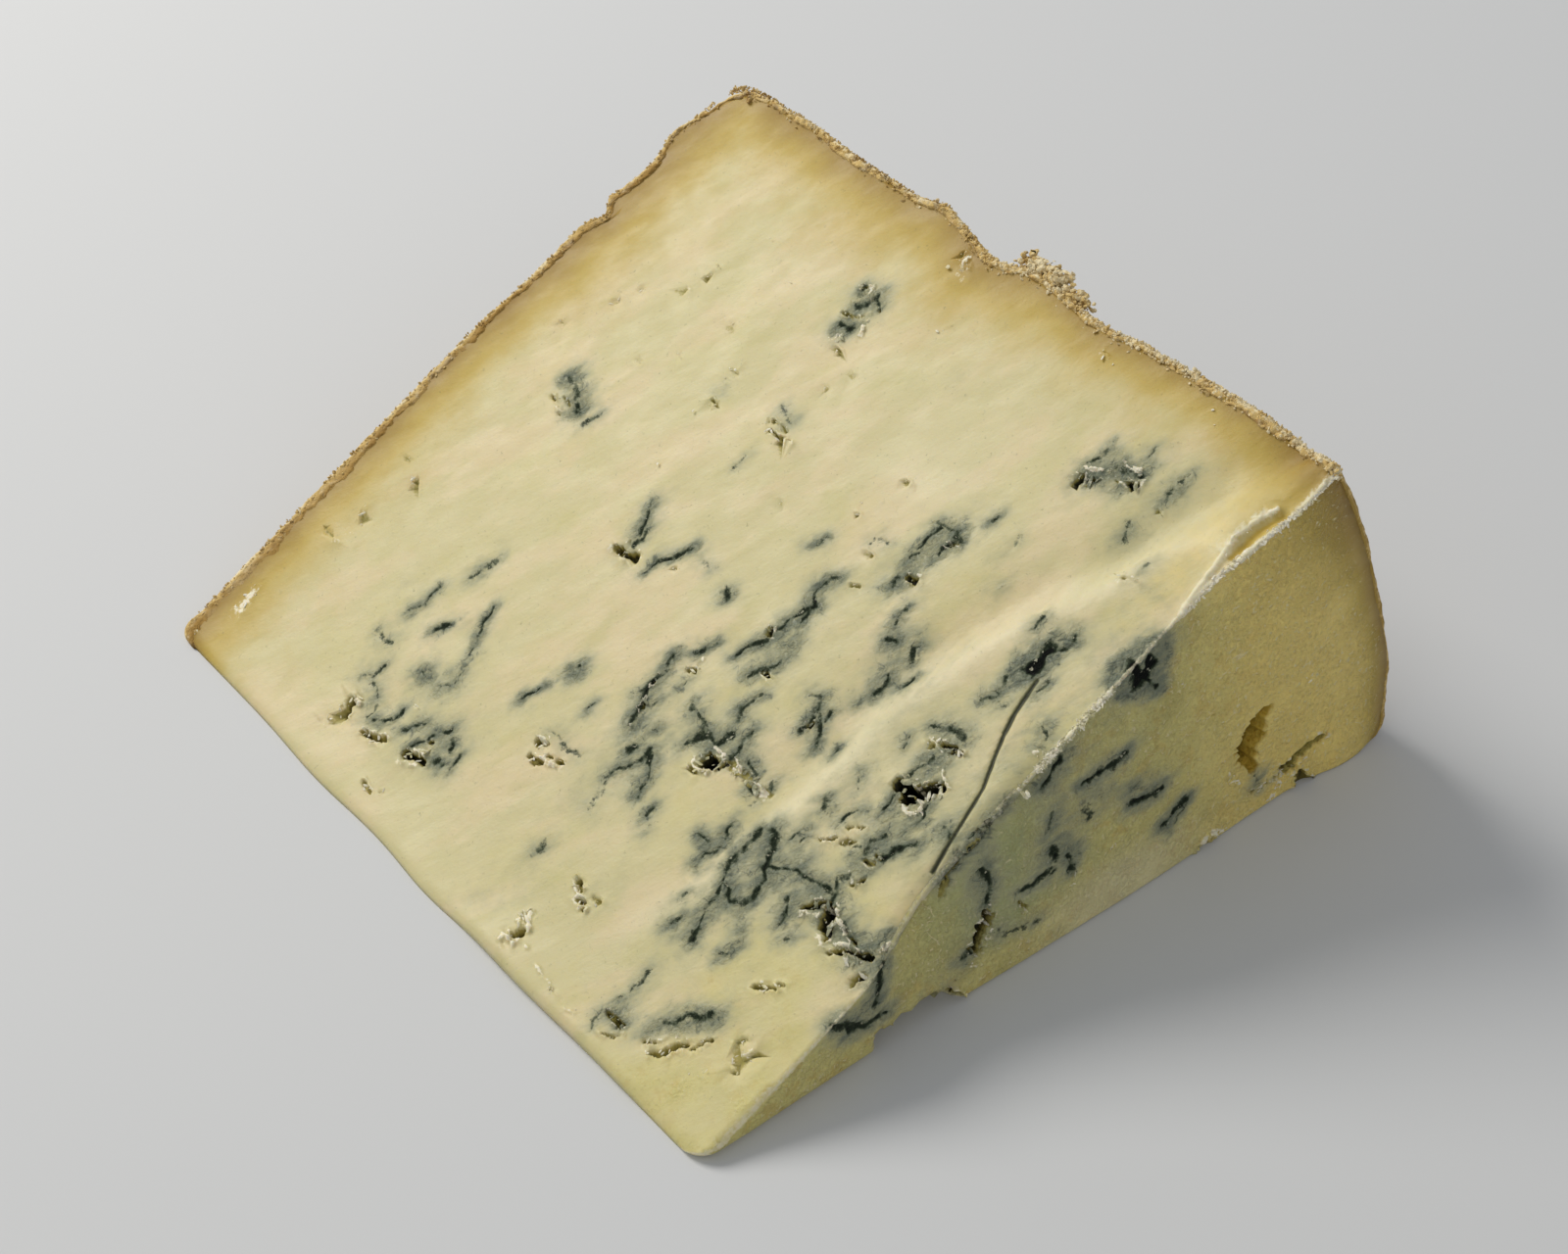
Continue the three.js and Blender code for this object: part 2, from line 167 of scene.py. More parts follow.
# How far a point of the upper face lies past the knife's drag line.
def pastDragLine(u, y):
    line = np.array(dragLine, float)
    return y - np.interp(u, line[:, 0], line[:, 1])


def upperRelief(u, y):
    past = pastDragLine(u, y)
    shallow = drag["shallow"]
    strength = smooth(u, *drag["from"]) * (shallow + (1 - shallow) * smooth(u, *drag["deeperFrom"]))
    dip = drag["dip"] * bell(past, np.where(past > 0, drag["dipReach"], drag["stepReach"]))
    crest = drag["crest"] * bell(past + drag["crestBefore"], drag["crestReach"])
    return strength * (crest - dip) + tipLift(u, y)


def fanSetback(x, z):
    whole = np.maximum(x * math.tan(wheel["turn"]), fanForm["leastHeight"])
    rise = np.clip(z / whole, 0, fanForm["highest"])
    torn = smooth(x, *fanForm["torn"]) * (1 - fanForm["clean"] * smooth(x, *fanForm["cleanFrom"]))
    lean = fanForm["lean"] * torn * rise ** fanForm["leanCurve"]
    foot = fanForm["tipFoot"] + (fanForm["foot"] - fanForm["tipFoot"]) * smooth(x, *fanForm["footFrom"])
    jagged = sum(height * np.sin(turns * x) for turns, height in fanForm["jags"])
    notch = fanForm["notch"] * band(x, *fanForm["notchPlaces"])
    notch = notch * (1 - smooth(z - jagged, *fanForm["notchTop"]))
    swelling = 0
    for place, reach, amount, low, high in fanForm["swellings"]:
        swelling = swelling + amount * bell(x - place, reach) * (1 - smooth(z, low, high))
    return lean + edgeRound(z, foot) + edgeRound(x, wheel["tipCorner"]) + notch - swelling


def roundRadius(y, turn):
    arc = wheel["radius"] * turn
    low = roundForm["marksLow"]
    left = low + (1 - low) * smooth(turn / wheel["turn"], *roundForm["marksFrom"])
    bulge = roundForm["bulge"] * bell(y - wheel["fanY"], roundForm["bulgeReach"])
    bulge = bulge * bell(arc - roundForm["bulgeHeight"], roundForm["bulgeHeightReach"])
    fanCorner = edgeRound(arc, wheel["fanCorner"]) * smooth(-y, *roundForm["fanCornerFrom"])
    outerEdge = edgeRound(wheel["flatY"] - roundForm["edgeInset"] - y, wheel["outerEdge"])
    lowerEdge = edgeRound(arc, wheel["lowerEdge"])
    return wheel["radius"] + markSum(y, roundMarks) * left + bulge - fanCorner - outerEdge - lowerEdge


def flatPlace(x, z):
    slope = x * math.tan(wheel["turn"])
    left = smooth(z, slope - flatForm["marksReach"], slope)
    bow = np.array(flatBow)
    place = wheel["flatY"] + np.interp(x, bow[:, 0], bow[:, 1])
    return place + markSum(x, flatMarks) * left - edgeRound(x, flatForm["tipRound"])


# How far out the prism's flat rind side lies, at an angle over the lower cut face.
def chordAt(turn):
    half = wheel["turn"] / 2
    return wheel["radius"] * math.cos(half) / np.cos(turn - half)


# Bends a flat-sided prism into the wedge. inset is how deep under the rind's outside its rind sides lie.
def shapeWedge(base, inset):
    x, y, z = base.T
    turn = np.arctan2(z, x)
    out = np.hypot(x, z) / chordAt(turn)
    up = np.clip(turn / wheel["turn"], 0, 1)
    along = np.clip((y - wheel["fanY"]) / (wheel["flatY"] - wheel["fanY"]), 0, 1)
    radius = out * (roundRadius(y, turn) - inset)
    px = radius * np.cos(turn)
    pz = radius * np.sin(turn)
    py = y + fanSetback(px, pz) * (1 - along) ** bend["ends"]
    py = py + (flatPlace(px, pz) - inset - wheel["flatY"]) * along ** bend["ends"]
    rise = upperRelief(radius, py) * up ** bend["upper"]
    px = px + upward[0] * rise + tipLine(py) * (1 - smooth(radius, 0, tip["bowReach"]))
    pz = pz + upward[2] * rise
    return np.column_stack((px, py, np.maximum(pz, 0)))


# A solid prism with a triangle at each end, every edge cut into the same number of steps.
def wedgePrism(cuts):
    bm = bmesh.new()
    r, t = wheel["radius"], wheel["turn"]
    corners = [(0, 0), (r, 0), (r * math.cos(t), r * math.sin(t))]
    fan = bm.faces.new([bm.verts.new((x, wheel["fanY"], z)) for x, z in corners])
    grown = bmesh.ops.extrude_face_region(bm, geom=[fan])["geom"]
    across = (0, wheel["flatY"] - wheel["fanY"], 0)
    bmesh.ops.translate(bm, vec=across, verts=[g for g in grown if isinstance(g, bmesh.types.BMVert)])
    bmesh.ops.recalc_face_normals(bm, faces=bm.faces)
    bmesh.ops.subdivide_edges(bm, edges=bm.edges, cuts=cuts, use_grid_fill=True)
    return bm


def onUpper(u, y):
    place = u[:, None] * outward + upperRelief(u, y)[:, None] * upward
    place[:, 0] += tipLine(y) * (1 - smooth(u, 0, tip["bowReach"]))
    place[:, 1] = y
    return place


def onFan(x, z):
    return np.column_stack((x, wheel["fanY"] + fanSetback(x, z), z))


# Veins of blue mould, pits and torn white paste are strokes laid on the cut faces.
# Each stroke is (half width, strength, [(place), (place), ...]): on the upper face a place is the distance
# from the wheel's axis and the place along it, and on the fan face the distance along X and the height.

upperVeins = [
    (0.7, 0.55, [(17.3, 31.5), (17.2, 30.4), (17.5, 28.6)]), (0.5, 0.8, [(21.7, 30.2), (22.4, 29.6)]),
    (0.6, 0.7, [(22.4, 29.6), (23.6, 29.2), (25.2, 29.6), (26.2, 29.2)]),
    (0.5, 0.6, [(29.6, 26.8), (30.8, 26.2), (32, 26), (33.3, 25.6)]),
    (0.5, 0.95, [(21.9, 25.1), (22.4, 24.6), (23.2, 24.3)]),
    (0.3, 0.85, [(12.3, 28.3), (12.9, 27.4), (13.8, 27.1), (14.8, 27.1)]),
    (0.35, 0.5, [(12.2, 26.8), (12.5, 25.2), (11.5, 24), (10, 23), (9.2, 23.2)]),
    (0.35, 0.8, [(9.5, 22.3), (10.2, 20.6), (11, 20.1), (12.6, 19.9)]),
    (0.35, 0.9, [(11.1, 17.7), (12, 17.3), (12.6, 16.4), (13.3, 15.7)]),
    (0.55, 1, [(17.4, 22), (17, 20.6)]), (0.4, 0.4, [(16.7, 20.2), (17, 18.7), (17.8, 17.8), (19.5, 17.3)]),
    (0.4, 0.6, [(18.5, 17.2), (21, 17.5), (24, 18.8)]),
    (0.35, 0.85, [(24, 18.8), (26.5, 20), (28.8, 20.6)]),
    (0.4, 0.95, [(10.4, 15), (11.6, 14.6), (12.9, 14), (13.9, 13.3), (14.5, 12.5), (15.2, 12.3)]),
    (0.45, 0.85, [(14.4, 11.2), (13.9, 10.4), (13.3, 10.3)]), (0.55, 0.9, [(11, 10.8), (11.2, 9.8)]),
    (0.3, 0.8, [(11.5, 8.5), (12.7, 8.5), (13.5, 8.6)]), (0.3, 1, [(22.9, 7.7), (24.5, 7.2), (26, 6.6)]),
    (0.45, 0.95, [(29.2, 5.6), (29.5, 5), (30.2, 4.7)]), (0.45, 0.95, [(29.5, 5), (29.1, 4)]),
    (0.5, 0.4, [(22.5, 1.5), (23, 0), (22.3, -2.5), (23, -4)]), (0.25, 0.8, [(27.2, -0.5), (28.2, -0.6)]),
    (0.2, 0.6, [(32, -3.9), (33, -4.4)]), (0.6, 0.9, [(29, -6.8), (30.3, -6.1), (32, -5.9), (33.2, -5)]),
    (0.55, 1, [(33.2, -5), (34.6, -4.8), (36.2, -4.6), (38.3, -4.2)]),
    (0.4, 0.9, [(23.8, -9.4), (25.2, -10.3), (27, -11), (28.3, -10.8), (27.4, -12.3), (26.3, -13.4),
        (24, -14.4)]),
    (0.5, 0.8, [(27.2, -9.1), (27.8, -9.2)]), (0.35, 0.8, [(30.8, -9.4), (30.9, -10)]),
    (0.5, 0.6, [(32.3, -7.3), (33.2, -7.5)]), (0.6, 0.7, [(11.9, -9), (12.6, -9.3)]),
    (0.9, 0.3, [(20, -10.4), (24, -9.6)]), (0.3, 0.8, [(31.5, -14.5), (33, -14.8), (34.5, -14.6)]),
    (0.45, 0.85, [(22.8, -17), (24, -17)]), (0.2, 0.6, [(21.4, -18.4), (22.2, -18)]),
    (0.6, 0.95, [(33, -14.8), (34.2, -15.6), (33.5, -17.2), (36, -18.1)]),
    (0.45, 0.6, [(36.5, -10.9), (35.5, -11.2), (35.2, -13.5), (34.5, -15)]),
    (0.4, 0.85, [(34.8, -22), (34.3, -24.3)]), (0.4, 0.8, [(32.8, -24.9), (33, -25.3)]),
    (0.4, 0.5, [(32, -26.4), (32.5, -26.7)]), (0.35, 0.7, [(34.3, -26.6), (35.2, -26.5)]),
    (0.35, 0.9, [(22.8, -26.3), (24.3, -26.3), (25, -26.8), (26.2, -27.2), (27.5, -26.3), (28.3, -26)]),
    (0.35, 0.9, [(25.4, -24), (25.2, -26.5)]), (0.25, 0.7, [(19.2, -28), (19.9, -28.2)]),
    (0.45, 0.85, [(16.4, -29.6), (17.5, -29.9)]),
    (0.45, 0.9, [(29.8, -29.4), (27, -29.8), (25, -30), (23, -30.6), (21, -31.3), (19, -32.2),
        (16.8, -32.8)]),
    (0.6, 0.9, [(23, -31), (22.2, -33), (23.3, -34.6), (24, -35), (26.5, -34.3), (27.3, -33.2)]),
    (0.6, 0.95, [(27.3, -33.2), (28.2, -33.2), (29.8, -32.4), (31, -30.8)]),
    (0.5, 0.85, [(27.5, -33), (28.3, -35), (29.3, -36.5), (29.9, -38.5), (30, -41)]),
    (0.3, 0.85, [(17.6, -36.8), (17.9, -37.6), (19.5, -37.5), (20.8, -36.9)]),
    (0.45, 0.85, [(24, -39.8), (25.2, -39.4), (26, -39), (27, -38.3)]),
    (0.45, 0.7, [(23.2, -41.6), (23.5, -42)]),
    (0.5, 0.8, [(7, -37), (8.2, -37.6), (9, -38.9), (10.5, -39), (11.3, -40.5), (12.3, -41.2),
        (12.6, -42.3)]),
    (0.35, 0.6, [(2.3, -31.8), (4.9, -30.5), (6.5, -31), (8, -31.6), (9.6, -31.9), (10.8, -31.5)]),
    (0.5, 0.8, [(5, -31.5), (4.9, -34)]), (0.5, 0.9, [(29.3, -42.6), (30.3, -42)]),
    (0.35, 0.95, [(28.8, -45.5), (28, -48.5), (27.5, -50), (28.3, -50.8), (31.2, -50.6)]),
    (0.3, 0.65, [(30.3, -41.8), (31.5, -41.3), (33, -42.4), (34, -44)]),
    (0.22, 0.75, [(31.4, -33.5), (34, -33.7)]), (0.22, 0.75, [(31.3, -34.5), (32.8, -34.5)]),
    (0.45, 0.7, [(45, 11.6), (46.8, 11), (47.3, 11.2)]),
    (0.45, 0.8, [(46.5, 12), (48.5, 13), (50.5, 13.9)]),
    (0.3, 0.95, [(43.5, 7.4), (45.5, 7), (47, 5.9), (48.5, 5.1), (49.7, 4.4)]),
    (0.3, 0.55, [(49.8, 3), (48.9, 2.2), (49, 1.2), (48.3, 0)]), (0.6, 0.75, [(47.9, -3.5), (47.3, -4.3)]),
    (0.2, 0.6, [(37.2, -8.3), (36.3, -8.4)]), (0.35, 0.95, [(40.2, -6.3), (41.5, -7.2), (42.4, -7.7)]),
    (0.4, 0.85, [(58.5, -8.2), (59.7, -8.7)]), (0.25, 0.6, [(54.4, -11.9), (55.2, -11.7)]),
    (0.4, 0.95, [(42.7, -11), (44.4, -11.3), (46.5, -12.5), (48, -13), (50.5, -12.9), (52, -13.8)]),
    (0.4, 0.95, [(50.6, -14.2), (52.6, -14.1), (53.5, -12.8), (56.5, -13.2), (56.8, -13.8)]),
    (0.4, 0.95, [(42, -14.2), (43.8, -15), (45, -16.2), (46.5, -16.4), (48.5, -15.6)]),
    (0.45, 0.85, [(37.8, -17.2), (39, -16.4), (40.3, -17), (41.3, -17.3)]),
    (0.4, 0.9, [(34, -20.2), (36, -20), (37.6, -19.8)]),
    (0.4, 0.4, [(62.6, -14), (63.4, -14), (63.6, -16)]), (0.3, 0.45, [(65.5, 18.3), (66.8, 18.6)]),
    (0.4, 0.5, [(68.5, 9.5), (67.9, 7), (67.7, 6.3)]), (0.5, 0.65, [(44.8, -22), (45.5, -23.4)]),
    (0.4, 0.9, [(41.3, -24.4), (42.5, -24.4), (45.3, -23.8)]),
    (0.4, 0.9, [(43.7, -24.6), (42.5, -26.3), (40.5, -27.2)]), (0.4, 0.85, [(45, -25.6), (43.8, -26)]),
    (0.4, 0.6, [(47.6, -27.4), (48.4, -27.6)]), (0.45, 0.85, [(49.6, -28), (51.2, -28.4), (52.3, -27.6)]),
    (0.35, 0.85, [(54.8, -24.9), (55.4, -26.1)]), (0.35, 0.9, [(57, -24), (58, -23.7), (59.1, -23.8)]),
    (0.35, 0.75, [(54.8, -28.5), (56.3, -28), (56.8, -28.2)]), (0.4, 0.9, [(52.4, -30.3), (53.5, -30.5)]),
    (0.35, 0.6, [(66.7, -30.8), (67.3, -30.8)]), (0.22, 0.8, [(41.3, -29.7), (42.3, -29.4)]),
    (0.45, 0.75, [(36.4, -33.8), (37.2, -33.2), (37.3, -34.6)]), (0.2, 0.6, [(40.3, -35.2), (42, -34.2)]),
    (0.2, 0.7, [(47, -36.1), (48.5, -35.8)]), (0.4, 0.75, [(36.9, -36.7), (38.3, -37), (38.8, -38)]),
    (0.35, 0.5, [(35.2, -40), (35.8, -40.7)]), (0.45, 0.8, [(35.6, -41.7), (37, -41.2), (38.4, -42.3)]),
    (0.5, 0.95, [(36.3, -44), (38, -44.3), (39.3, -45.3), (40, -45.8)]),
    (0.22, 0.85, [(40.3, -39.4), (42.6, -39.5)]), (0.5, 0.85, [(45, -39.2), (47.5, -39.6), (48.3, -39.9)]),
    (0.3, 0.9, [(44, -43.5), (42, -44.1), (40, -43.8)]), (0.35, 0.7, [(43.3, -46.9), (42.9, -48)]),
    (0.5, 0.75, [(50.8, -36.7), (51.5, -38.5), (52.2, -39.5), (52, -40.7)]),
    (0.5, 0.65, [(56.5, -39.5), (57.5, -40.3), (60, -39.8)]), (0.4, 0.45, [(57.3, -41.3), (57.4, -41.9)]),
    (0.35, 0.75, [(66, -38.2), (67.3, -38)]), (1, 2.2, [(62.6, -41.3), (64.6, -41.3)]),
    (0.45, 0.85, [(64.7, -41.6), (65.5, -42.5), (66.9, -43.2), (67.7, -42.2)]),
    (0.5, 0.6, [(60, -43.8), (61.7, -44)]), (0.35, 0.5, [(58.2, -47.2), (57.8, -48), (57, -48.8)]),
    (0.45, 0.9, [(60, -20), (61.2, -20)]), (0.45, 0.95, [(63, -20.2), (63.7, -19.4), (65, -20)]),
    (0.4, 0.95, [(65.3, -18.9), (67, -19.4), (68.5, -19.9)]), (0.5, 0.6, [(68.6, -18.8), (69.2, -20.8)]),
    (0.35, 0.9, [(66, -22), (67.5, -21.9), (68.3, -23)]), (0.45, 0.95, [(68.3, -23), (69.2, -21.5)]),
    (0.3, 0.85, [(72.4, -24.1), (73.4, -24.2)]), (0.3, 0.35, [(70.3, -28.3), (71.8, -28.6), (72.8, -28)]),
    (0.3, 0.65, [(84, -28.3), (86, -29.3), (87.7, -28.7)]), (0.5, 0.8, [(82.4, -29), (83.6, -31)]),
    (0.5, 0.75, [(85.6, -32), (86.4, -34.6)]), (0.2, 0.5, [(88, -33.7), (90, -33.6)]),
    (0.3, 0.65, [(84.7, -34), (83.5, -34)]), (0.35, 0.6, [(85.5, -38.9), (88, -38.9), (89.5, -39.2)]),
    (0.45, 0.4, [(79, -38.7), (81.3, -37.5)]), (0.3, 0.5, [(78, -43), (78.6, -43.1)]),
    (0.5, 0.95, [(80.7, 11.5), (81.2, 10)]), (0.6, 0.85, [(84, 11.7), (84.6, 10.9)]),
    (0.5, 0.8, [(86.2, 10.5), (85, 9)]), (0.5, 0.7, [(85.4, 12.4), (86.6, 13)]),
    (0.55, 0.95, [(55.9, 37.8), (56.2, 36.9)]), (0.5, 0.7, [(56.2, 36.9), (55.2, 35.2), (53.8, 34)]),
    (0.6, 1, [(53.7, 33.7), (53.3, 32.7)]), (0.5, 0.65, [(52.4, 30.7), (53.6, 30), (54.6, 29.6)]),
    (0.4, 0.5, [(68.3, -49.3), (69.2, -49.1)]), (0.4, 0.5, [(59.5, 8.2), (61.8, 8.3)]),
]
# Soft grey-blue clouds round the veins: (reach, strength, [(place), ...]).
upperClouds = [
    (2, 0.5, [(11, 25)]), (2.4, 0.6, [(17, 17), (19, 18)]), (1.8, 0.3, [(23.5, 33.5)]),
    (3, 0.55, [(12, 12.5)]), (2, 0.35, [(10.5, 8)]), (2.2, 0.5, [(29.5, 5)]),
    (3.2, 0.5, [(26, -9), (36, -6)]), (3.4, 0.5, [(34.5, -12), (35, -20)]),
    (3.2, 0.45, [(25, -12), (27, -11)]), (2.4, 0.45, [(44, -24.5)]), (2.6, 0.6, [(45, -14), (53, -14.5)]),
    (2.2, 0.5, [(39.5, -16.8)]), (2.6, 0.7, [(61, -21), (69, -21)]), (2.8, 0.6, [(17, -32.5), (30, -31)]),
    (2.6, 0.8, [(23, -35), (30, -36)]), (2.8, 0.7, [(28, -40), (28, -52)]),
    (3.2, 0.75, [(35, -42), (50, -41)]), (2.6, 0.6, [(50, -28), (57, -26)]), (2.4, 0.6, [(6, -32.5)]),
    (2.8, 0.6, [(8, -38), (12.5, -42)]), (2.4, 0.5, [(18.5, -37.5)]),
    (3, 0.85, [(84.5, -30.5), (86.3, -34)]), (2.6, 0.5, [(86.5, -39)]), (2.4, 0.5, [(80, -38.5)]),
    (1.6, 0.45, [(77, -45), (77, -48)]), (2.6, 0.55, [(57, -40.5), (66, -41)]),
    (2.8, 0.45, [(81, 11), (86, 11)]), (2.2, 0.6, [(53.5, 33), (56.5, 38)]), (1.6, 0.4, [(47.5, -4)]),
    (2, 0.4, [(67.5, 7)]), (2, 0.35, [(47, 12), (49, 12.8)]), (2.2, 0.45, [(24, 29.3)]),
    (2, 0.35, [(31.5, 26.2)]), (1.4, 0.35, [(84.2, -6.8)]), (3, 0.3, [(19, -11)]),
    (2.2, 0.6, [(26, -26.5)]), (2, 0.4, [(52, -38.5)]), (1.6, 0.4, [(61, -44), (58, -48)]),
    (11, 0.15, [(24, -8), (36, -14), (64, -22)]), (11, 0.18, [(18, -34), (36, -42), (52, -38)]),
    (5, 0.45, [(23, -9), (29, -12)]), (6, 0.5, [(43, -47.5), (58, -48)]), (5, 0.35, [(66, -47), (75, -47)]),
    (5, 0.3, [(35, -37), (46, -33), (56, -31)]), (4.5, 0.35, [(61, -19), (69, -21)]),
    (4, 0.3, [(5, -9), (7, -12)]), (4, 0.25, [(14, -20)]), (4, 0.3, [(84, 11)]), (4, 0.3, [(84, -30)]),
    (4, 0.2, [(44, 10)]), (6, 0.2, [(14, 22), (15, 10)]),
]
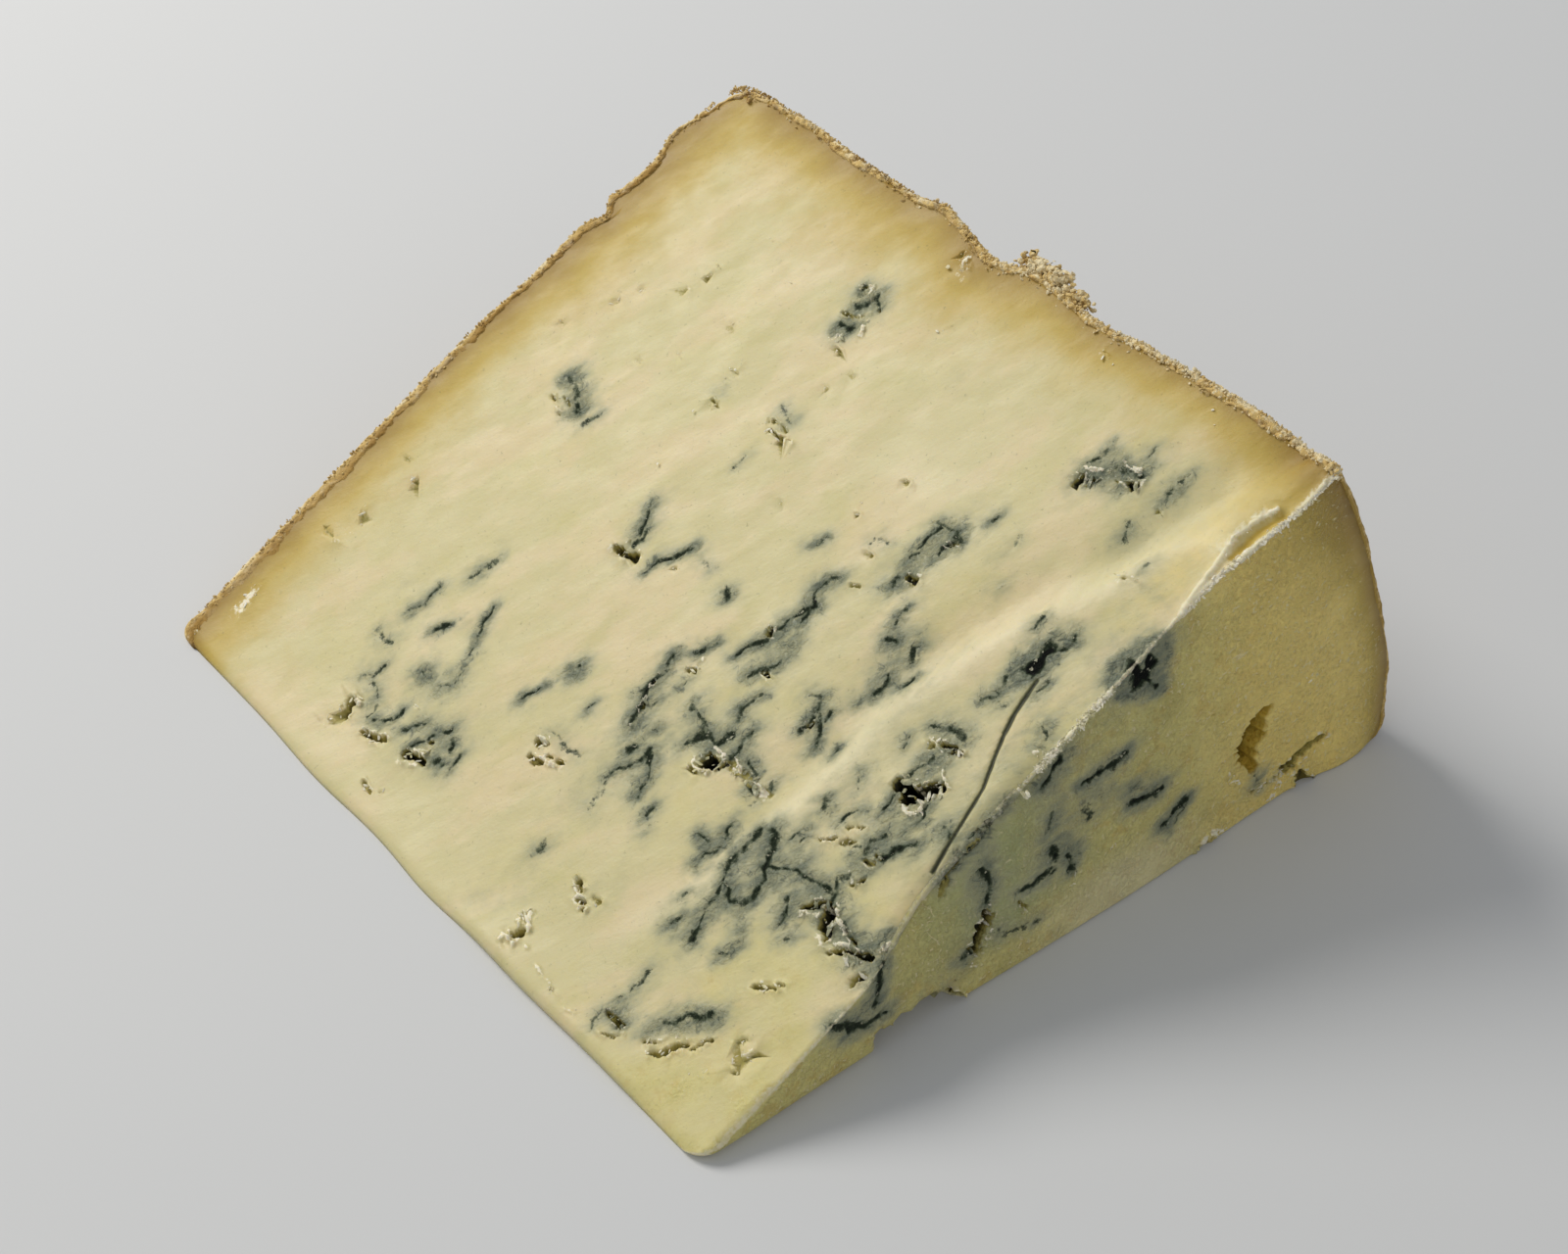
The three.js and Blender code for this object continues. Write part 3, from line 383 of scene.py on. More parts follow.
# Pits and cracks: (half width, depth, [(place), ...]). The deeper ones are painted nearly black inside, as
# shade.
upperPits = [
    (0.75, 1.3, [(7.7, 25.9), (9, 26.4)]), (0.28, 0.6, [(4.9, 27.7), (5.5, 26.6)]),
    (0.42, 1, [(7.5, 22), (8, 20.4), (8.7, 18.9)]), (0.4, 0.5, [(3.7, 16.4), (3.3, 14.4)]),
    (0.2, 0.4, [(4, 13.5), (4.2, 12.9)]), (0.65, 1.5, [(9.1, 14.7), (9.8, 13.3), (10.2, 12)]),
    (0.35, 0.9, [(12.1, 13.7), (12.3, 13.2)]), (0.2, 0.5, [(14.1, 18.5), (14.3, 18)]),
    (0.26, 0.6, [(21.8, 51), (22, 49), (21.8, 47.2)]), (0.32, 0.6, [(26.6, 47.8), (25.3, 46)]),
    (0.3, 0.6, [(33.7, 45.3), (33.3, 43.9)]), (0.25, 0.45, [(35.3, 48.8), (35.1, 48)]),
    (0.16, 0.25, [(29.1, 37.4), (28.6, 36.7)]), (0.4, 1, [(18.9, 0.8), (19.3, -1.3)]),
    (0.28, 0.8, [(20.1, -1), (20.9, -3)]), (0.5, 0.9, [(20.7, 1.8), (21.3, 0.6)]),
    (0.55, 1.4, [(3.6, -15.7), (4.3, -15.7)]), (0.25, 0.5, [(2, -15.9), (2.6, -15.4)]),
    (0.5, 0.9, [(12.7, -16.6), (12.3, -17.6)]), (0.45, 1, [(11.3, -18.4), (10.8, -19.6)]),
    (0.3, 0.6, [(12.2, -19.6), (12.5, -20.6)]), (1.05, 2.8, [(31.8, -17.8), (32.1, -18.9)]),
    (0.32, 0.9, [(30.1, -17), (30.1, -18.6)]), (0.3, 0.8, [(32.2, -20), (33, -20.3)]),
    (0.55, 0.4, [(33.3, -20.6), (33.4, -22.6), (33.2, -24.8), (33.6, -26.8)]),
    (0.3, 0.8, [(29, -6.6), (28.8, -7.6)]), (0.45, 1, [(31.8, -6), (32.3, -5.8)]),
    (0.3, 0.8, [(34.4, -5), (35.4, -4.7)]), (0.55, 1.3, [(43.7, 12.9), (43.5, 11.5), (43.9, 10.2)]),
    (0.2, 0.5, [(45.6, 5.5), (46.1, 4.2)]), (0.3, 0.7, [(38.2, -7.1), (38.8, -8)]),
    (0.25, 0.6, [(65.1, -8.5), (65.4, -9.1)]), (0.18, 0.4, [(64.1, -9.5), (64.2, -10)]),
    (0.45, 0.9, [(47, -12.3), (47.8, -12.4)]), (0.3, 0.7, [(43.7, -15.5), (43.6, -16.6)]),
    (0.2, 0.5, [(57.2, -15.6), (57.7, -17.3)]), (0.2, 0.4, [(61.5, -14.4), (61.2, -15.3)]),
    (0.22, 0.6, [(63.8, 18.4), (63.6, 17.1)]), (0.25, 0.6, [(64.6, 18.2), (64.5, 17)]),
    (0.15, 0.4, [(62, 18.9), (62, 18.3)]), (0.2, 0.4, [(67.4, 19.7), (67.5, 18)]),
    (0.15, 0.35, [(68.8, 19.5), (68.9, 17.6)]), (0.18, 0.35, [(71, 19.9), (70.9, 18.7)]),
    (0.3, 0.9, [(65.4, 8.2), (65.3, 5.8)]), (0.2, 0.6, [(66.6, 9.4), (66.9, 7.8), (66.7, 6)]),
    (0.3, 0.7, [(65.8, 5.2), (65.9, 4.7)]), (0.45, 1.1, [(61.9, -21.2), (62.3, -22)]),
    (0.35, 0.9, [(67.5, -22.1), (68, -22.9)]), (0.3, 0.8, [(42.1, -24.5), (42.6, -24.9)]),
    (0.3, 0.8, [(33.6, -36), (34.6, -37.6)]), (0.28, 0.7, [(34.2, -38.3), (35.6, -39.6)]),
    (0.2, 0.6, [(36.4, -38), (37.8, -39.5)]), (0.3, 0.7, [(34.8, -42.4), (35, -43.5)]),
    (0.3, 0.6, [(35.9, -43), (36.2, -43.8)]), (0.85, 4.2, [(43.5, -39.2), (43.4, -41.2)]),
    (0.85, 4.4, [(44.3, -41.7), (46.1, -42.6)]), (0.3, 1.6, [(45.9, -42.4), (47.2, -42), (47.9, -41.4)]),
    (0.25, 0.7, [(49.4, -37.5), (49.1, -38.9)]), (0.4, 1.1, [(49.8, -39.6), (50.9, -41.3)]),
    (0.28, 0.8, [(49.9, -41.3), (50.5, -42.5)]), (0.15, 0.4, [(48, -41.5), (49, -41.4)]),
    (0.5, 1.3, [(27.2, -40.9), (28, -41.6), (29, -42.3)]), (0.8, 1.7, [(28.4, -43.2), (27.2, -44.4)]),
    (0.55, 1.4, [(27, -44.8), (26.3, -45.5)]), (0.3, 1, [(28.7, -45.6), (28, -48.4)]),
    (0.32, 0.9, [(25.5, -47), (26.5, -48.2), (27.3, -49.5)]), (0.6, 1.4, [(27.5, -50), (28.4, -51.2)]),
    (0.5, 0.9, [(24.9, -51.9), (25.4, -51.9)]), (0.3, 0.7, [(32.3, -43.2), (33.6, -43.8)]),
    (0.28, 0.6, [(5.1, -37.6), (5.9, -38.6)]), (0.38, 0.8, [(4.9, -39.3), (6.3, -40.6), (8, -41.5)]),
    (0.28, 0.6, [(8.2, -42.3), (10.4, -43.5)]), (0.14, 0.35, [(6.2, -44.4), (7.3, -46)]),
    (0.28, 0.7, [(10.3, -46.9), (11, -47.6), (12.3, -48.6)]), (0.28, 0.6, [(9.7, -48), (10.5, -48.9)]),
    (0.2, 0.5, [(11.7, -45.9), (13.3, -46.8)]), (0.45, 1, [(4.9, -31.6), (5, -33), (4.8, -34)]),
    (0.2, 0.6, [(2.3, -32.7), (3, -34), (4.3, -35.5)]),
    (0.28, 0.7, [(17.6, -42.6), (18, -44), (18.8, -45.2)]), (0.2, 0.5, [(19.4, -44.9), (19.9, -45.4)]),
    (0.4, 0.9, [(50.8, -51.4), (52.5, -50.9)]), (0.28, 0.6, [(73.2, 34.2), (73.5, 32)]),
    (0.45, 0.7, [(75.6, 32.6), (76.4, 32.1)]), (0.14, 0.3, [(77.7, 32.6), (77.9, 31.9)]),
    (0.22, 0.4, [(66.5, 42), (67.2, 40.2)]), (0.25, 0.4, [(69.8, 39.6), (70.4, 38.7)]),
    (0.14, 0.3, [(72.9, 24), (73.1, 23.5)]), (0.14, 0.3, [(81.7, 21.2), (82, 20.9)]),
    (0.18, 0.25, [(85, 30), (85.1, 29.6)]), (0.25, 0.8, [(52.7, 37.7), (52.1, 36), (51.4, 34.9)]),
    (0.2, 0.5, [(53.6, 36.2), (53.1, 34.9)]), (0.15, 0.3, [(62.5, 32.2), (62.6, 30)]),
    (0.14, 0.3, [(66.2, 27.3), (66, 26.7)]), (0.14, 0.3, [(60.5, 45.5), (60.3, 44.7)]),
    (0.14, 0.3, [(54.5, 17.1), (53.9, 16.1)]), (0.14, 0.3, [(59.9, -0.2), (59.6, -1)]),
    (0.2, 0.45, [(76.7, 5), (77.2, 4.4)]), (0.14, 0.3, [(74, 7), (73.8, 6.2)]),
    (0.14, 0.35, [(86.7, 0.2), (87.4, -0.7)]), (0.18, 0.5, [(70.1, -11), (70.6, -12.2)]),
    (0.25, 0.7, [(82, 12.8), (82.8, 10.8), (83.5, 9.4)]), (0.25, 0.6, [(78.3, 9.8), (78.2, 8.6)]),
    (0.3, 0.7, [(86.2, 13.2), (86.6, 12.6)]), (0.3, 0.6, [(84.9, 8.8), (84.6, 8.4)]),
    (0.3, 0.8, [(94.1, 4.1), (95.5, 3.1)]), (0.3, 0.6, [(95.5, 5.6), (96.9, 5)]),
    (0.45, 1.1, [(81.4, -28.7), (82.7, -29)]), (0.45, 1.2, [(82.5, -30.1), (83.1, -30.4)]),
    (0.22, 0.6, [(83.3, -31.2), (83.6, -31.7)]), (0.3, 0.9, [(84.2, -32.4), (84.5, -32.9)]),
    (0.6, 2.2, [(85, -33.9), (85.3, -34.8)]), (0.28, 0.7, [(86, -32.5), (86.3, -32)]),
    (0.2, 0.6, [(84.4, -39), (84.4, -39.7)]), (0.35, 0.8, [(75.8, -41.5), (76, -42)]),
    (0.22, 0.5, [(76.1, -42.8), (76.6, -43.7), (77, -43.2)]),
]
# White torn paste that stands up beside pits and along the ridge: (half width, rise, [(place), ...]).
upperTorn = [
    (0.45, 0.3, [(9.4, 25.4), (9.9, 26.6)]), (0.35, 0.25, [(5.6, 27.6), (6.9, 26.2)]),
    (0.3, 0.25, [(7.9, 22.2), (8.8, 20.5)]), (0.3, 0.2, [(4, 16.3), (3.8, 14.3)]),
    (0.45, 0.3, [(6.6, 50.6), (8.6, 51.4), (10.9, 51.4)]), (0.3, 0.3, [(7.2, 51.8), (9.4, 50.4)]),
    (0.3, 0.2, [(1.4, 53.6), (2.1, 53.1)]), (0.4, 0.3, [(10.4, 14), (10.7, 12.6)]),
    (0.55, 0.35, [(21.3, 1.6), (21.8, 0.9)]), (0.3, 0.3, [(19.7, 0.6), (19.8, -2.4)]),
    (0.5, 0.3, [(2.3, -15.2), (3.2, -14.9), (2.7, -16.5)]), (0.5, 0.3, [(4.6, -14.7), (5.4, -14.4)]),
    (0.5, 0.35, [(4.9, -16.4), (5.7, -15.3), (6.6, -15.2)]), (0.35, 0.25, [(3.7, -16.8), (3.6, -18.2)]),
    (0.4, 0.3, [(12, -16.6), (11.6, -18.6)]), (0.4, 0.35, [(30.8, -16.6), (30.8, -19.4)]),
    (0.5, 0.4, [(33.2, -17.4), (33.6, -19.3)]), (0.6, 0.35, [(33.6, -20.8), (33.7, -23.5), (33.5, -26.4)]),
    (0.35, 0.35, [(42.3, -41), (42, -42.2), (42.8, -43.4)]),
    (0.3, 0.5, [(42.8, -43.4), (43.8, -42.9), (44.1, -41.9)]), (0.3, 0.3, [(47.6, -42.4), (47.8, -41.7)]),
    (0.35, 0.35, [(44.4, -39.3), (44.9, -40.3)]), (0.35, 0.3, [(49.6, -37.2), (49.7, -39)]),
    (0.35, 0.3, [(49.4, -40.3), (50, -41.8), (50.6, -43)]), (0.45, 0.4, [(28.9, -43.6), (28.2, -46.4)]),
    (0.4, 0.35, [(26.4, -46.6), (27.5, -48.9)]), (0.4, 0.3, [(26, -49), (26.6, -50.4)]),
    (0.5, 0.35, [(28.4, -51.6), (30.6, -51.4)]), (0.3, 0.25, [(10.9, -47), (12.6, -48)]),
    (0.3, 0.25, [(18.3, -43), (19.2, -45)]), (0.3, 0.25, [(5.6, -38), (9.4, -41.6)]),
    (0.5, 0.4, [(83.3, -28.6), (84.2, -30.2)]), (0.5, 0.4, [(86.4, -32.9), (87, -34)]),
    (0.3, 0.3, [(84.4, -31.3), (84.9, -32.2)]), (0.3, 0.2, [(76.3, -41.4), (77.2, -42.6)]),
    (0.45, 0.35, [(55.4, -48.6), (56.2, -49.3)]),
    (0.35, 0.25, [(2.9, -20.2), (2.6, -22.6), (2.3, -26), (1.8, -28.8)]),
    (0.35, 0.2, [(69.4, -49.4), (69.8, -49)]), (0.2, 0.15, [(96.7, -35.5), (96.9, -35.7)]),
    (0.2, 0.15, [(95.2, -37.3), (95.5, -37.8)]), (0.3, 0.15, [(21.5, 51.7), (21.3, 50.8)]),
    (0.5, 0.2, [(79, 11.5), (79.6, 10.2)]), (0.45, 0.25, [(82.7, 9.4), (81, 8.2)]),
    (0.5, 0.25, [(86.8, 12.2), (85.6, 10.9)]), (0.4, 0.25, [(94.6, 5.2), (96.3, 4.1)]),
    (0.4, 0.15, [(95.8, -19), (94.3, -22)]), (0.35, 0.25, [(38.9, -8.1), (40.2, -7.6)]),
    (0.35, 0.25, [(44.6, 11.9), (45, 12.4)]),
]

fanVeins = [
    (0.6, 0.85, [(17.8, 9.5), (18.8, 8.2), (20.2, 6.6), (22.5, 6), (24.8, 6), (25.2, 5.5)]),
    (0.7, 0.95, [(25.8, 17.5), (25.5, 15), (25, 12.5), (24.3, 10), (23.8, 8)]),
    (0.5, 0.95, [(35.8, 17.2), (38, 18.6), (41, 20)]), (0.55, 0.7, [(41.3, 20), (42, 22.5), (41, 24.5)]),
    (0.3, 0.7, [(43.5, 21), (44.3, 22.2)]), (0.5, 0.95, [(48.6, 22.1), (50, 23.2), (51.3, 24.2)]),
    (0.5, 0.45, [(49.5, 18), (48.5, 16)]), (0.7, 0.85, [(49, 13.6), (49.5, 12.4)]),
    (0.55, 0.9, [(51, 11.5), (51.3, 9.5)]), (0.3, 0.8, [(35.8, 6), (37, 6.2)]),
    (0.5, 0.8, [(40, 16), (40.6, 13.5), (39.8, 11.5)]), (0.35, 0.55, [(43.5, 10.5), (46, 10), (49, 10.5)]),
    (0.5, 0.4, [(40.5, 7), (42, 5.6), (44.5, 5.3)]), (0.3, 0.6, [(45.6, 4.8), (46.4, 4.9)]),
    (0.7, 0.4, [(53.5, 16), (54, 14.8)]), (0.5, 0.95, [(54.1, 19.7), (57, 20.3), (59.9, 20.7)]),
    (0.4, 0.7, [(43.8, 10.1), (46.4, 10.2), (48.8, 11.3)]),
    (0.35, 0.5, [(42.3, 23.4), (43.4, 25.2), (44.8, 27.7)]),
    (1, 2.2, [(61.4, 31.2), (62, 29.6), (63.3, 29.4), (63.9, 31)]), (0.45, 1.4, [(63, 29), (64.3, 27)]),
    (0.5, 0.9, [(60.6, 13.4), (62.5, 13), (64.4, 12.9)]), (0.45, 0.4, [(60.2, 15.4), (61, 15.6)]),
    (0.45, 0.95, [(64.5, 7.6), (66, 8.4), (68.1, 9.3)]), (0.3, 0.85, [(65, 7.8), (65.5, 6.5)]),
    (0.3, 0.5, [(67.8, 8.5), (66.5, 6.5)]), (0.4, 0.5, [(78.3, 6.2), (78.8, 5)]),
    (0.2, 0.5, [(79.5, 3.5), (81, 3.6)]),
]
fanClouds = [
    (2.6, 0.6, [(21, 7), (25, 12)]), (2.4, 0.6, [(39, 14), (42, 22)]), (3.4, 0.6, [(49, 11), (50, 23)]),
    (3, 0.5, [(62.5, 30), (64, 34)]), (2.6, 0.6, [(66, 8)]), (2.8, 0.6, [(55, 18), (62, 14)]),
    (4, 0.5, [(38, 19), (44, 26)]), (6, 0.35, [(46, 12), (54, 24)]), (2.2, 0.4, [(79, 5)]),
    (4, 0.5, [(29, 2), (32, 3)]), (5, 0.35, [(38, 8), (40, 14)]),
]
fanPits = [
    (0.85, 3.2, [(39.4, 9.9), (38.4, 7.6), (37.9, 6.4)]), (0.5, 1.4, [(40.2, 9.6), (39.8, 8.4)]),
    (0.75, 1.5, [(84.9, 4.6), (86.5, 5.4), (88.6, 5.9)]), (1.5, 3, [(24.6, 1.6), (28, 1), (33, 1.6)]),
    (0.8, 1.6, [(34, 1.2), (35.2, 0.4)]), (0.35, 1, [(78.3, 4.1), (81, 3.8), (83.2, 4.2)]),
    (0.9, 2.2, [(83.2, 4.2), (84.7, 4.2)]), (1.1, 2.4, [(85.7, 1.2), (86.6, 0.1)]),
    (0.4, 0.5, [(34.8, 15.4), (39.1, 19.8), (44.3, 23.7), (46.8, 24.5)]),
    (0.5, 0.9, [(44, 25.6), (44.3, 26.6)]), (0.25, 0.5, [(45, 7.6), (44, 9.2)]),
    (0.25, 0.4, [(71.6, 19), (72, 18.8)]), (0.6, 0.8, [(70.2, 0.5), (71.8, 0.6)]),
]
# A smooth-walled hole that pressing left open, olive yellow inside.
fanHollows = [
    (1, 2.6, [(79.7, 15.2), (78.8, 14.2)]), (2, 3.4, [(78.2, 13), (77.4, 11.4)]),
    (1.4, 2.8, [(77, 10.4), (77.6, 8.8)]), (0.8, 1.4, [(77.8, 8.2), (78.4, 7.4)]),
]
fanTorn = [
    (0.35, 0.25, [(74.2, 9), (74.6, 7.6), (76, 7)]), (0.3, 0.2, [(44.6, 7.4), (43.6, 9.4)]),
    (0.5, 0.3, [(70.4, 1.6), (72, 1.9), (73.4, 0.8)]), (0.4, 0.3, [(82.8, 4.6), (82.6, 2.4), (81, 1)]),
    (0.25, 0.15, [(87, 29.2), (88, 28.2), (90, 27.6)]), (0.25, 0.12, [(90.4, 16), (93, 15.4), (96, 16.4)]),
    (0.3, 0.2, [(36, 4.6), (38, 4)]), (0.25, 0.15, [(66, 26.6), (68.4, 25.2)]),
    (0.2, 0.12, [(85, 16.6), (87, 16.8)]), (0.35, 0.15, [(56, 8.6), (58.6, 9.4)]),
    (0.3, 0.15, [(51, 7), (51.6, 8.6)]),
]


# Turns the strokes of one face into (half width, strength, points in space).
def laid(strokes, onFace):
    return [(w, s, onFace(*np.array(places, float).T)) for w, s, places in strokes]


# The same mould reaches the lower cut face, as wandering strokes.
lowerMould = {
    "count": 24, "seed": 4, "out": (8, 88), "along": (-48, 48), "steps": (2, 5), "turning": 0.7,
    "stepLength": (1.2, 3.0), "halfWidth": (0.3, 0.6), "strength": (0.5, 1.0), "cloud": (2.4, 0.5),
}


def wanderOnLower():
    draw = np.random.default_rng(lowerMould["seed"])
    strokes = []
    for _ in range(lowerMould["count"]):
        place = np.array([draw.uniform(*lowerMould["out"]), draw.uniform(*lowerMould["along"])])
        heading = draw.uniform(0, 2 * math.pi)
        places = [place]
        for _ in range(draw.integers(*lowerMould["steps"])):
            heading += draw.normal(0, lowerMould["turning"])
            step = draw.uniform(*lowerMould["stepLength"])
            place = place + step * np.array([math.cos(heading), math.sin(heading)])
            places.append(place)
        path = np.column_stack((places, np.zeros(len(places))))
        strokes.append((draw.uniform(*lowerMould["halfWidth"]), draw.uniform(*lowerMould["strength"]), path))
    return strokes


# A crack as thin as a needle.
needle = [
    (0.3, 1, [(61.5, -42.8), (57.5, -43.5), (55, -44.3)]),
    (0.24, 1, [(55, -44.3), (52, -45.6), (49, -47), (46, -47.7), (39, -49.2)]),
]
# How white the ridge between the upper and the fan face is: (distance from the axis, amount).
ridgeWhite = [
    (1, 0.65), (22, 0.6), (30, 0.35), (52, 0.35), (55, 0.9), (64, 0.9), (67, 0.6), (74, 0.6), (77, 0.95),
    (81, 0.9), (83, 0.5), (85, 1), (89, 0.9), (91, 0.6), (95, 0.85), (99, 0.7),
]
# The torn lip that leaves the ridge near the rind, and the yellow trough between the two.
ridgeLip = (0.45, 0.95, [
    (77, -50.3), (80, -49.9), (83, -49.6), (86.4, -49), (88.2, -49.2), (89.6, -49.7), (91.6, -50.7)])
ridgeTrough = (0.6, 1, [(84.6, -50.3), (88, -50.5), (91.5, -51.7)])
fanSpread, fanDarker = 1.25, 1.1     # how much wider and stronger the veins of the fan face show
leastPit = 0.22

lowerVeins = wanderOnLower()
fanStrokes = [(fanSpread * w, fanDarker * s, places) for w, s, places in fanVeins]
seenVeins = laid(upperVeins, onUpper) + laid(fanStrokes, onFan)
cracks = laid(needle, onUpper)
edgeLips = laid([ridgeLip], onUpper)
troughs = laid([ridgeTrough], onUpper)
hollows = laid(fanHollows, onFan)
veins = seenVeins + lowerVeins
lowerClouds = [(*lowerMould["cloud"], path) for _, _, path in lowerVeins]
clouds = laid(upperClouds, onUpper) + laid(fanClouds, onFan) + lowerClouds
pits = [(max(w, leastPit), s, path) for w, s, path in laid(upperPits, onUpper) + laid(fanPits, onFan)]
torn = laid(upperTorn, onUpper) + laid(fanTorn, onFan)


# Distance from each point to a stroke through space.
def strokeDistance(points, path):
    if len(path) == 1:
        return np.linalg.norm(points - path[0], axis=1)
    nearest = np.full(len(points), np.inf)
    for a, b in zip(path[:-1], path[1:]):
        way = b - a
        t = np.clip((points - a) @ way / max(way @ way, 1e-9), 0, 1)
        nearest = np.minimum(nearest, np.linalg.norm(points - a - t[:, None] * way, axis=1))
    return nearest


# The strongest of many strokes at each point. reach is how many half widths and how much further a stroke
# goes, swell how much wider it is there, and falloff turns distance, half width and strength into an amount.
def strokeField(points, strokes, reach, falloff, swell=None):
    field = np.zeros(len(points))
    for width, strength, path in strokes:
        margin = reach[0] * width + reach[1]
        close = np.all((points > path.min(0) - margin) & (points < path.max(0) + margin), axis=1)
        if close.any():
            distance = strokeDistance(points[close], path)
            if swell is not None:
                distance = distance / swell[close]
            field[close] = np.maximum(field[close], falloff(distance, width, strength))
    return field


# Falloffs: a hill of so many half widths and a little further, and a level floor that ends in a wall.
def hill(widths=1.0, further=0.0):
    return lambda distance, width, strength: strength * bell(distance, widths * width + further)


def walled(inner, outer):
    return lambda distance, width, strength: strength * (1 - smooth(distance / width, inner, outer))


def meshPoints(mesh):
    points = np.empty(len(mesh.vertices) * 3)
    mesh.vertices.foreach_get("co", points)
    return points.reshape(-1, 3)


def meshNormals(mesh):
    normals = np.empty(len(mesh.vertices) * 3, np.float32)
    mesh.vertex_normals.foreach_get("vector", normals)
    return normals.reshape(-1, 3).astype(float)


def setPoints(mesh, points):
    mesh.vertices.foreach_set("co", points.ravel())
    mesh.update()


def setAmounts(mesh, amounts):
    for name, amount in amounts.items():
        layer = mesh.attributes.new(name, "FLOAT", "POINT")
        layer.data.foreach_set("value", np.asarray(amount, np.float32))


# Every edge whose middle passes the test is cut in two.
def refine(bm, wanted):
    edges = list(bm.edges)
    middle = np.array([(e.verts[0].co + e.verts[1].co)[:] for e in edges]) / 2
    chosen = [e for e, keep in zip(edges, wanted(middle)) if keep]
    bmesh.ops.subdivide_edges(bm, edges=chosen, cuts=1, use_grid_fill=True)


def toMesh(bm, name):
    bmesh.ops.triangulate(bm, faces=bm.faces)
    mesh = bpy.data.meshes.new(name)
    bm.to_mesh(mesh)
    bm.free()
    return mesh


# Moves finished points into the frame, in metres, and keeps them inside the CAD solid's box.
def addPiece(mesh, points, material, rounded=True):
    setPoints(mesh, np.clip(points + axisPlace, nodeLow, nodeHigh) * 0.001)
    piece = bpy.data.objects.new(mesh.name, mesh)
    bpy.context.scene.collection.objects.link(piece)
    mesh.materials.append(material)
    if rounded:
        mesh.shade_smooth()
    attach(piece, "root")
    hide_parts("cheese_wedge")
    print(mesh.name, "has", len(mesh.polygons), "triangles")


# How far each point of the flat-sided prism lies from the two rind sides, the cut faces and the tip.
def prismPlaces(base):
    x, y, z = base.T
    turn = np.arctan2(z, x)
    out = np.hypot(x, z)
    fromFan = y - wheel["fanY"]
    fromUpper = (wheel["turn"] - turn) * out
    return {
        "turn": turn,
        "fromRind": np.minimum(chordAt(turn) - out, wheel["flatY"] - y),
        "fromFan": fromFan,
        "fromUpper": fromUpper,
        "fromTip": out,
        "height": z,
        "fromCut": np.minimum(np.minimum(fromUpper, fromFan), z),
    }


def linear(hexColour):
    channels = [int(hexColour[i:i + 2], 16) / 255 for i in (1, 3, 5)]
    return [c / 12.92 if c <= 0.04045 else ((c + 0.055) / 1.055) ** 2.4 for c in channels] + [1.0]


# Adds one node: settings are its properties, and values its inputs, where a node's output is linked.
def addNode(tree, kind, settings=None, values=None):
    node = tree.nodes.new(kind)
    for key, value in (settings or {}).items():
        setattr(node, key, value)
    for key, value in (values or {}).items():
        if isinstance(value, bpy.types.NodeSocket):
            tree.links.new(value, node.inputs[key])
        else:
            node.inputs[key].default_value = linear(value) if isinstance(value, str) else value
    return node


softly = {"interpolation_type": "SMOOTHSTEP"}
multiply = {"operation": "MULTIPLY"}


# An amount of patches about size millimetres across: least below low, most above high.
def patches(tree, place, size, low, high, most=1.0, least=0.0, detail=4.0):
    values = {"Vector": place, "Scale": 1000 / size, "Detail": detail, "Roughness": 0.6}
    pattern = addNode(tree, "ShaderNodeTexNoise", {}, values).outputs["Fac"]
    limits = {"Value": pattern, "From Min": low, "From Max": high, "To Min": least, "To Max": most}
    return addNode(tree, "ShaderNodeMapRange", softly, limits).outputs["Result"]


# Lays a colour over what is below, from none where amount is at start to most of it at stop.
def coat(tree, below, colour, amount, start=0.0, stop=1.0, most=1.0):
    limits = {"Value": amount, "From Min": start, "From Max": stop, "To Max": most}
    cover = addNode(tree, "ShaderNodeMapRange", softly, limits).outputs["Result"]
    return addNode(tree, "ShaderNodeMix", {"data_type": "RGBA"}, {0: cover, 6: below, 7: colour}).outputs[2]


# Lays coats one over another, each (colour, amount, start, stop, most).
def coats(tree, below, rows):
    for row in rows:
        below = coat(tree, below, *row)
    return below


def newMaterial(name):
    material = bpy.data.materials.new(name)
    material.use_nodes = True
    material.node_tree.nodes.clear()
    return material, material.node_tree


# Reads the amounts that the mesh carries, each with a grain of its own added so that its edges turn ragged.
def readAmounts(tree, place, grains):
    amounts = {}
    for name, (size, strength) in grains.items():
        plain = addNode(tree, "ShaderNodeAttribute", {"attribute_name": name}).outputs["Fac"]
        if strength:
            grain = patches(tree, place, size, 0.25, 0.75, strength, -strength, 3.0)
            plain = addNode(tree, "ShaderNodeMath", {"operation": "ADD"}, {0: plain, 1: grain}).outputs[0]
        amounts[name] = plain
    return amounts


# Fine threads: the thin lines along which a rolling noise passes its middle value.
def threads(tree, place, size, width, most):
    values = {"Vector": place, "Scale": 1000 / size, "Detail": 3.0, "Roughness": 0.55, "Distortion": 0.6}
    pattern = addNode(tree, "ShaderNodeTexNoise", {}, values).outputs["Fac"]
    past = addNode(tree, "ShaderNodeMath", {"operation": "SUBTRACT"}, {0: pattern, 1: 0.5}).outputs[0]
    away = addNode(tree, "ShaderNodeMath", {"operation": "ABSOLUTE"}, {0: past}).outputs[0]
    limits = {"Value": away, "From Min": 0.0, "From Max": width, "To Min": most, "To Max": 0.0}
    return addNode(tree, "ShaderNodeMapRange", softly, limits).outputs["Result"]


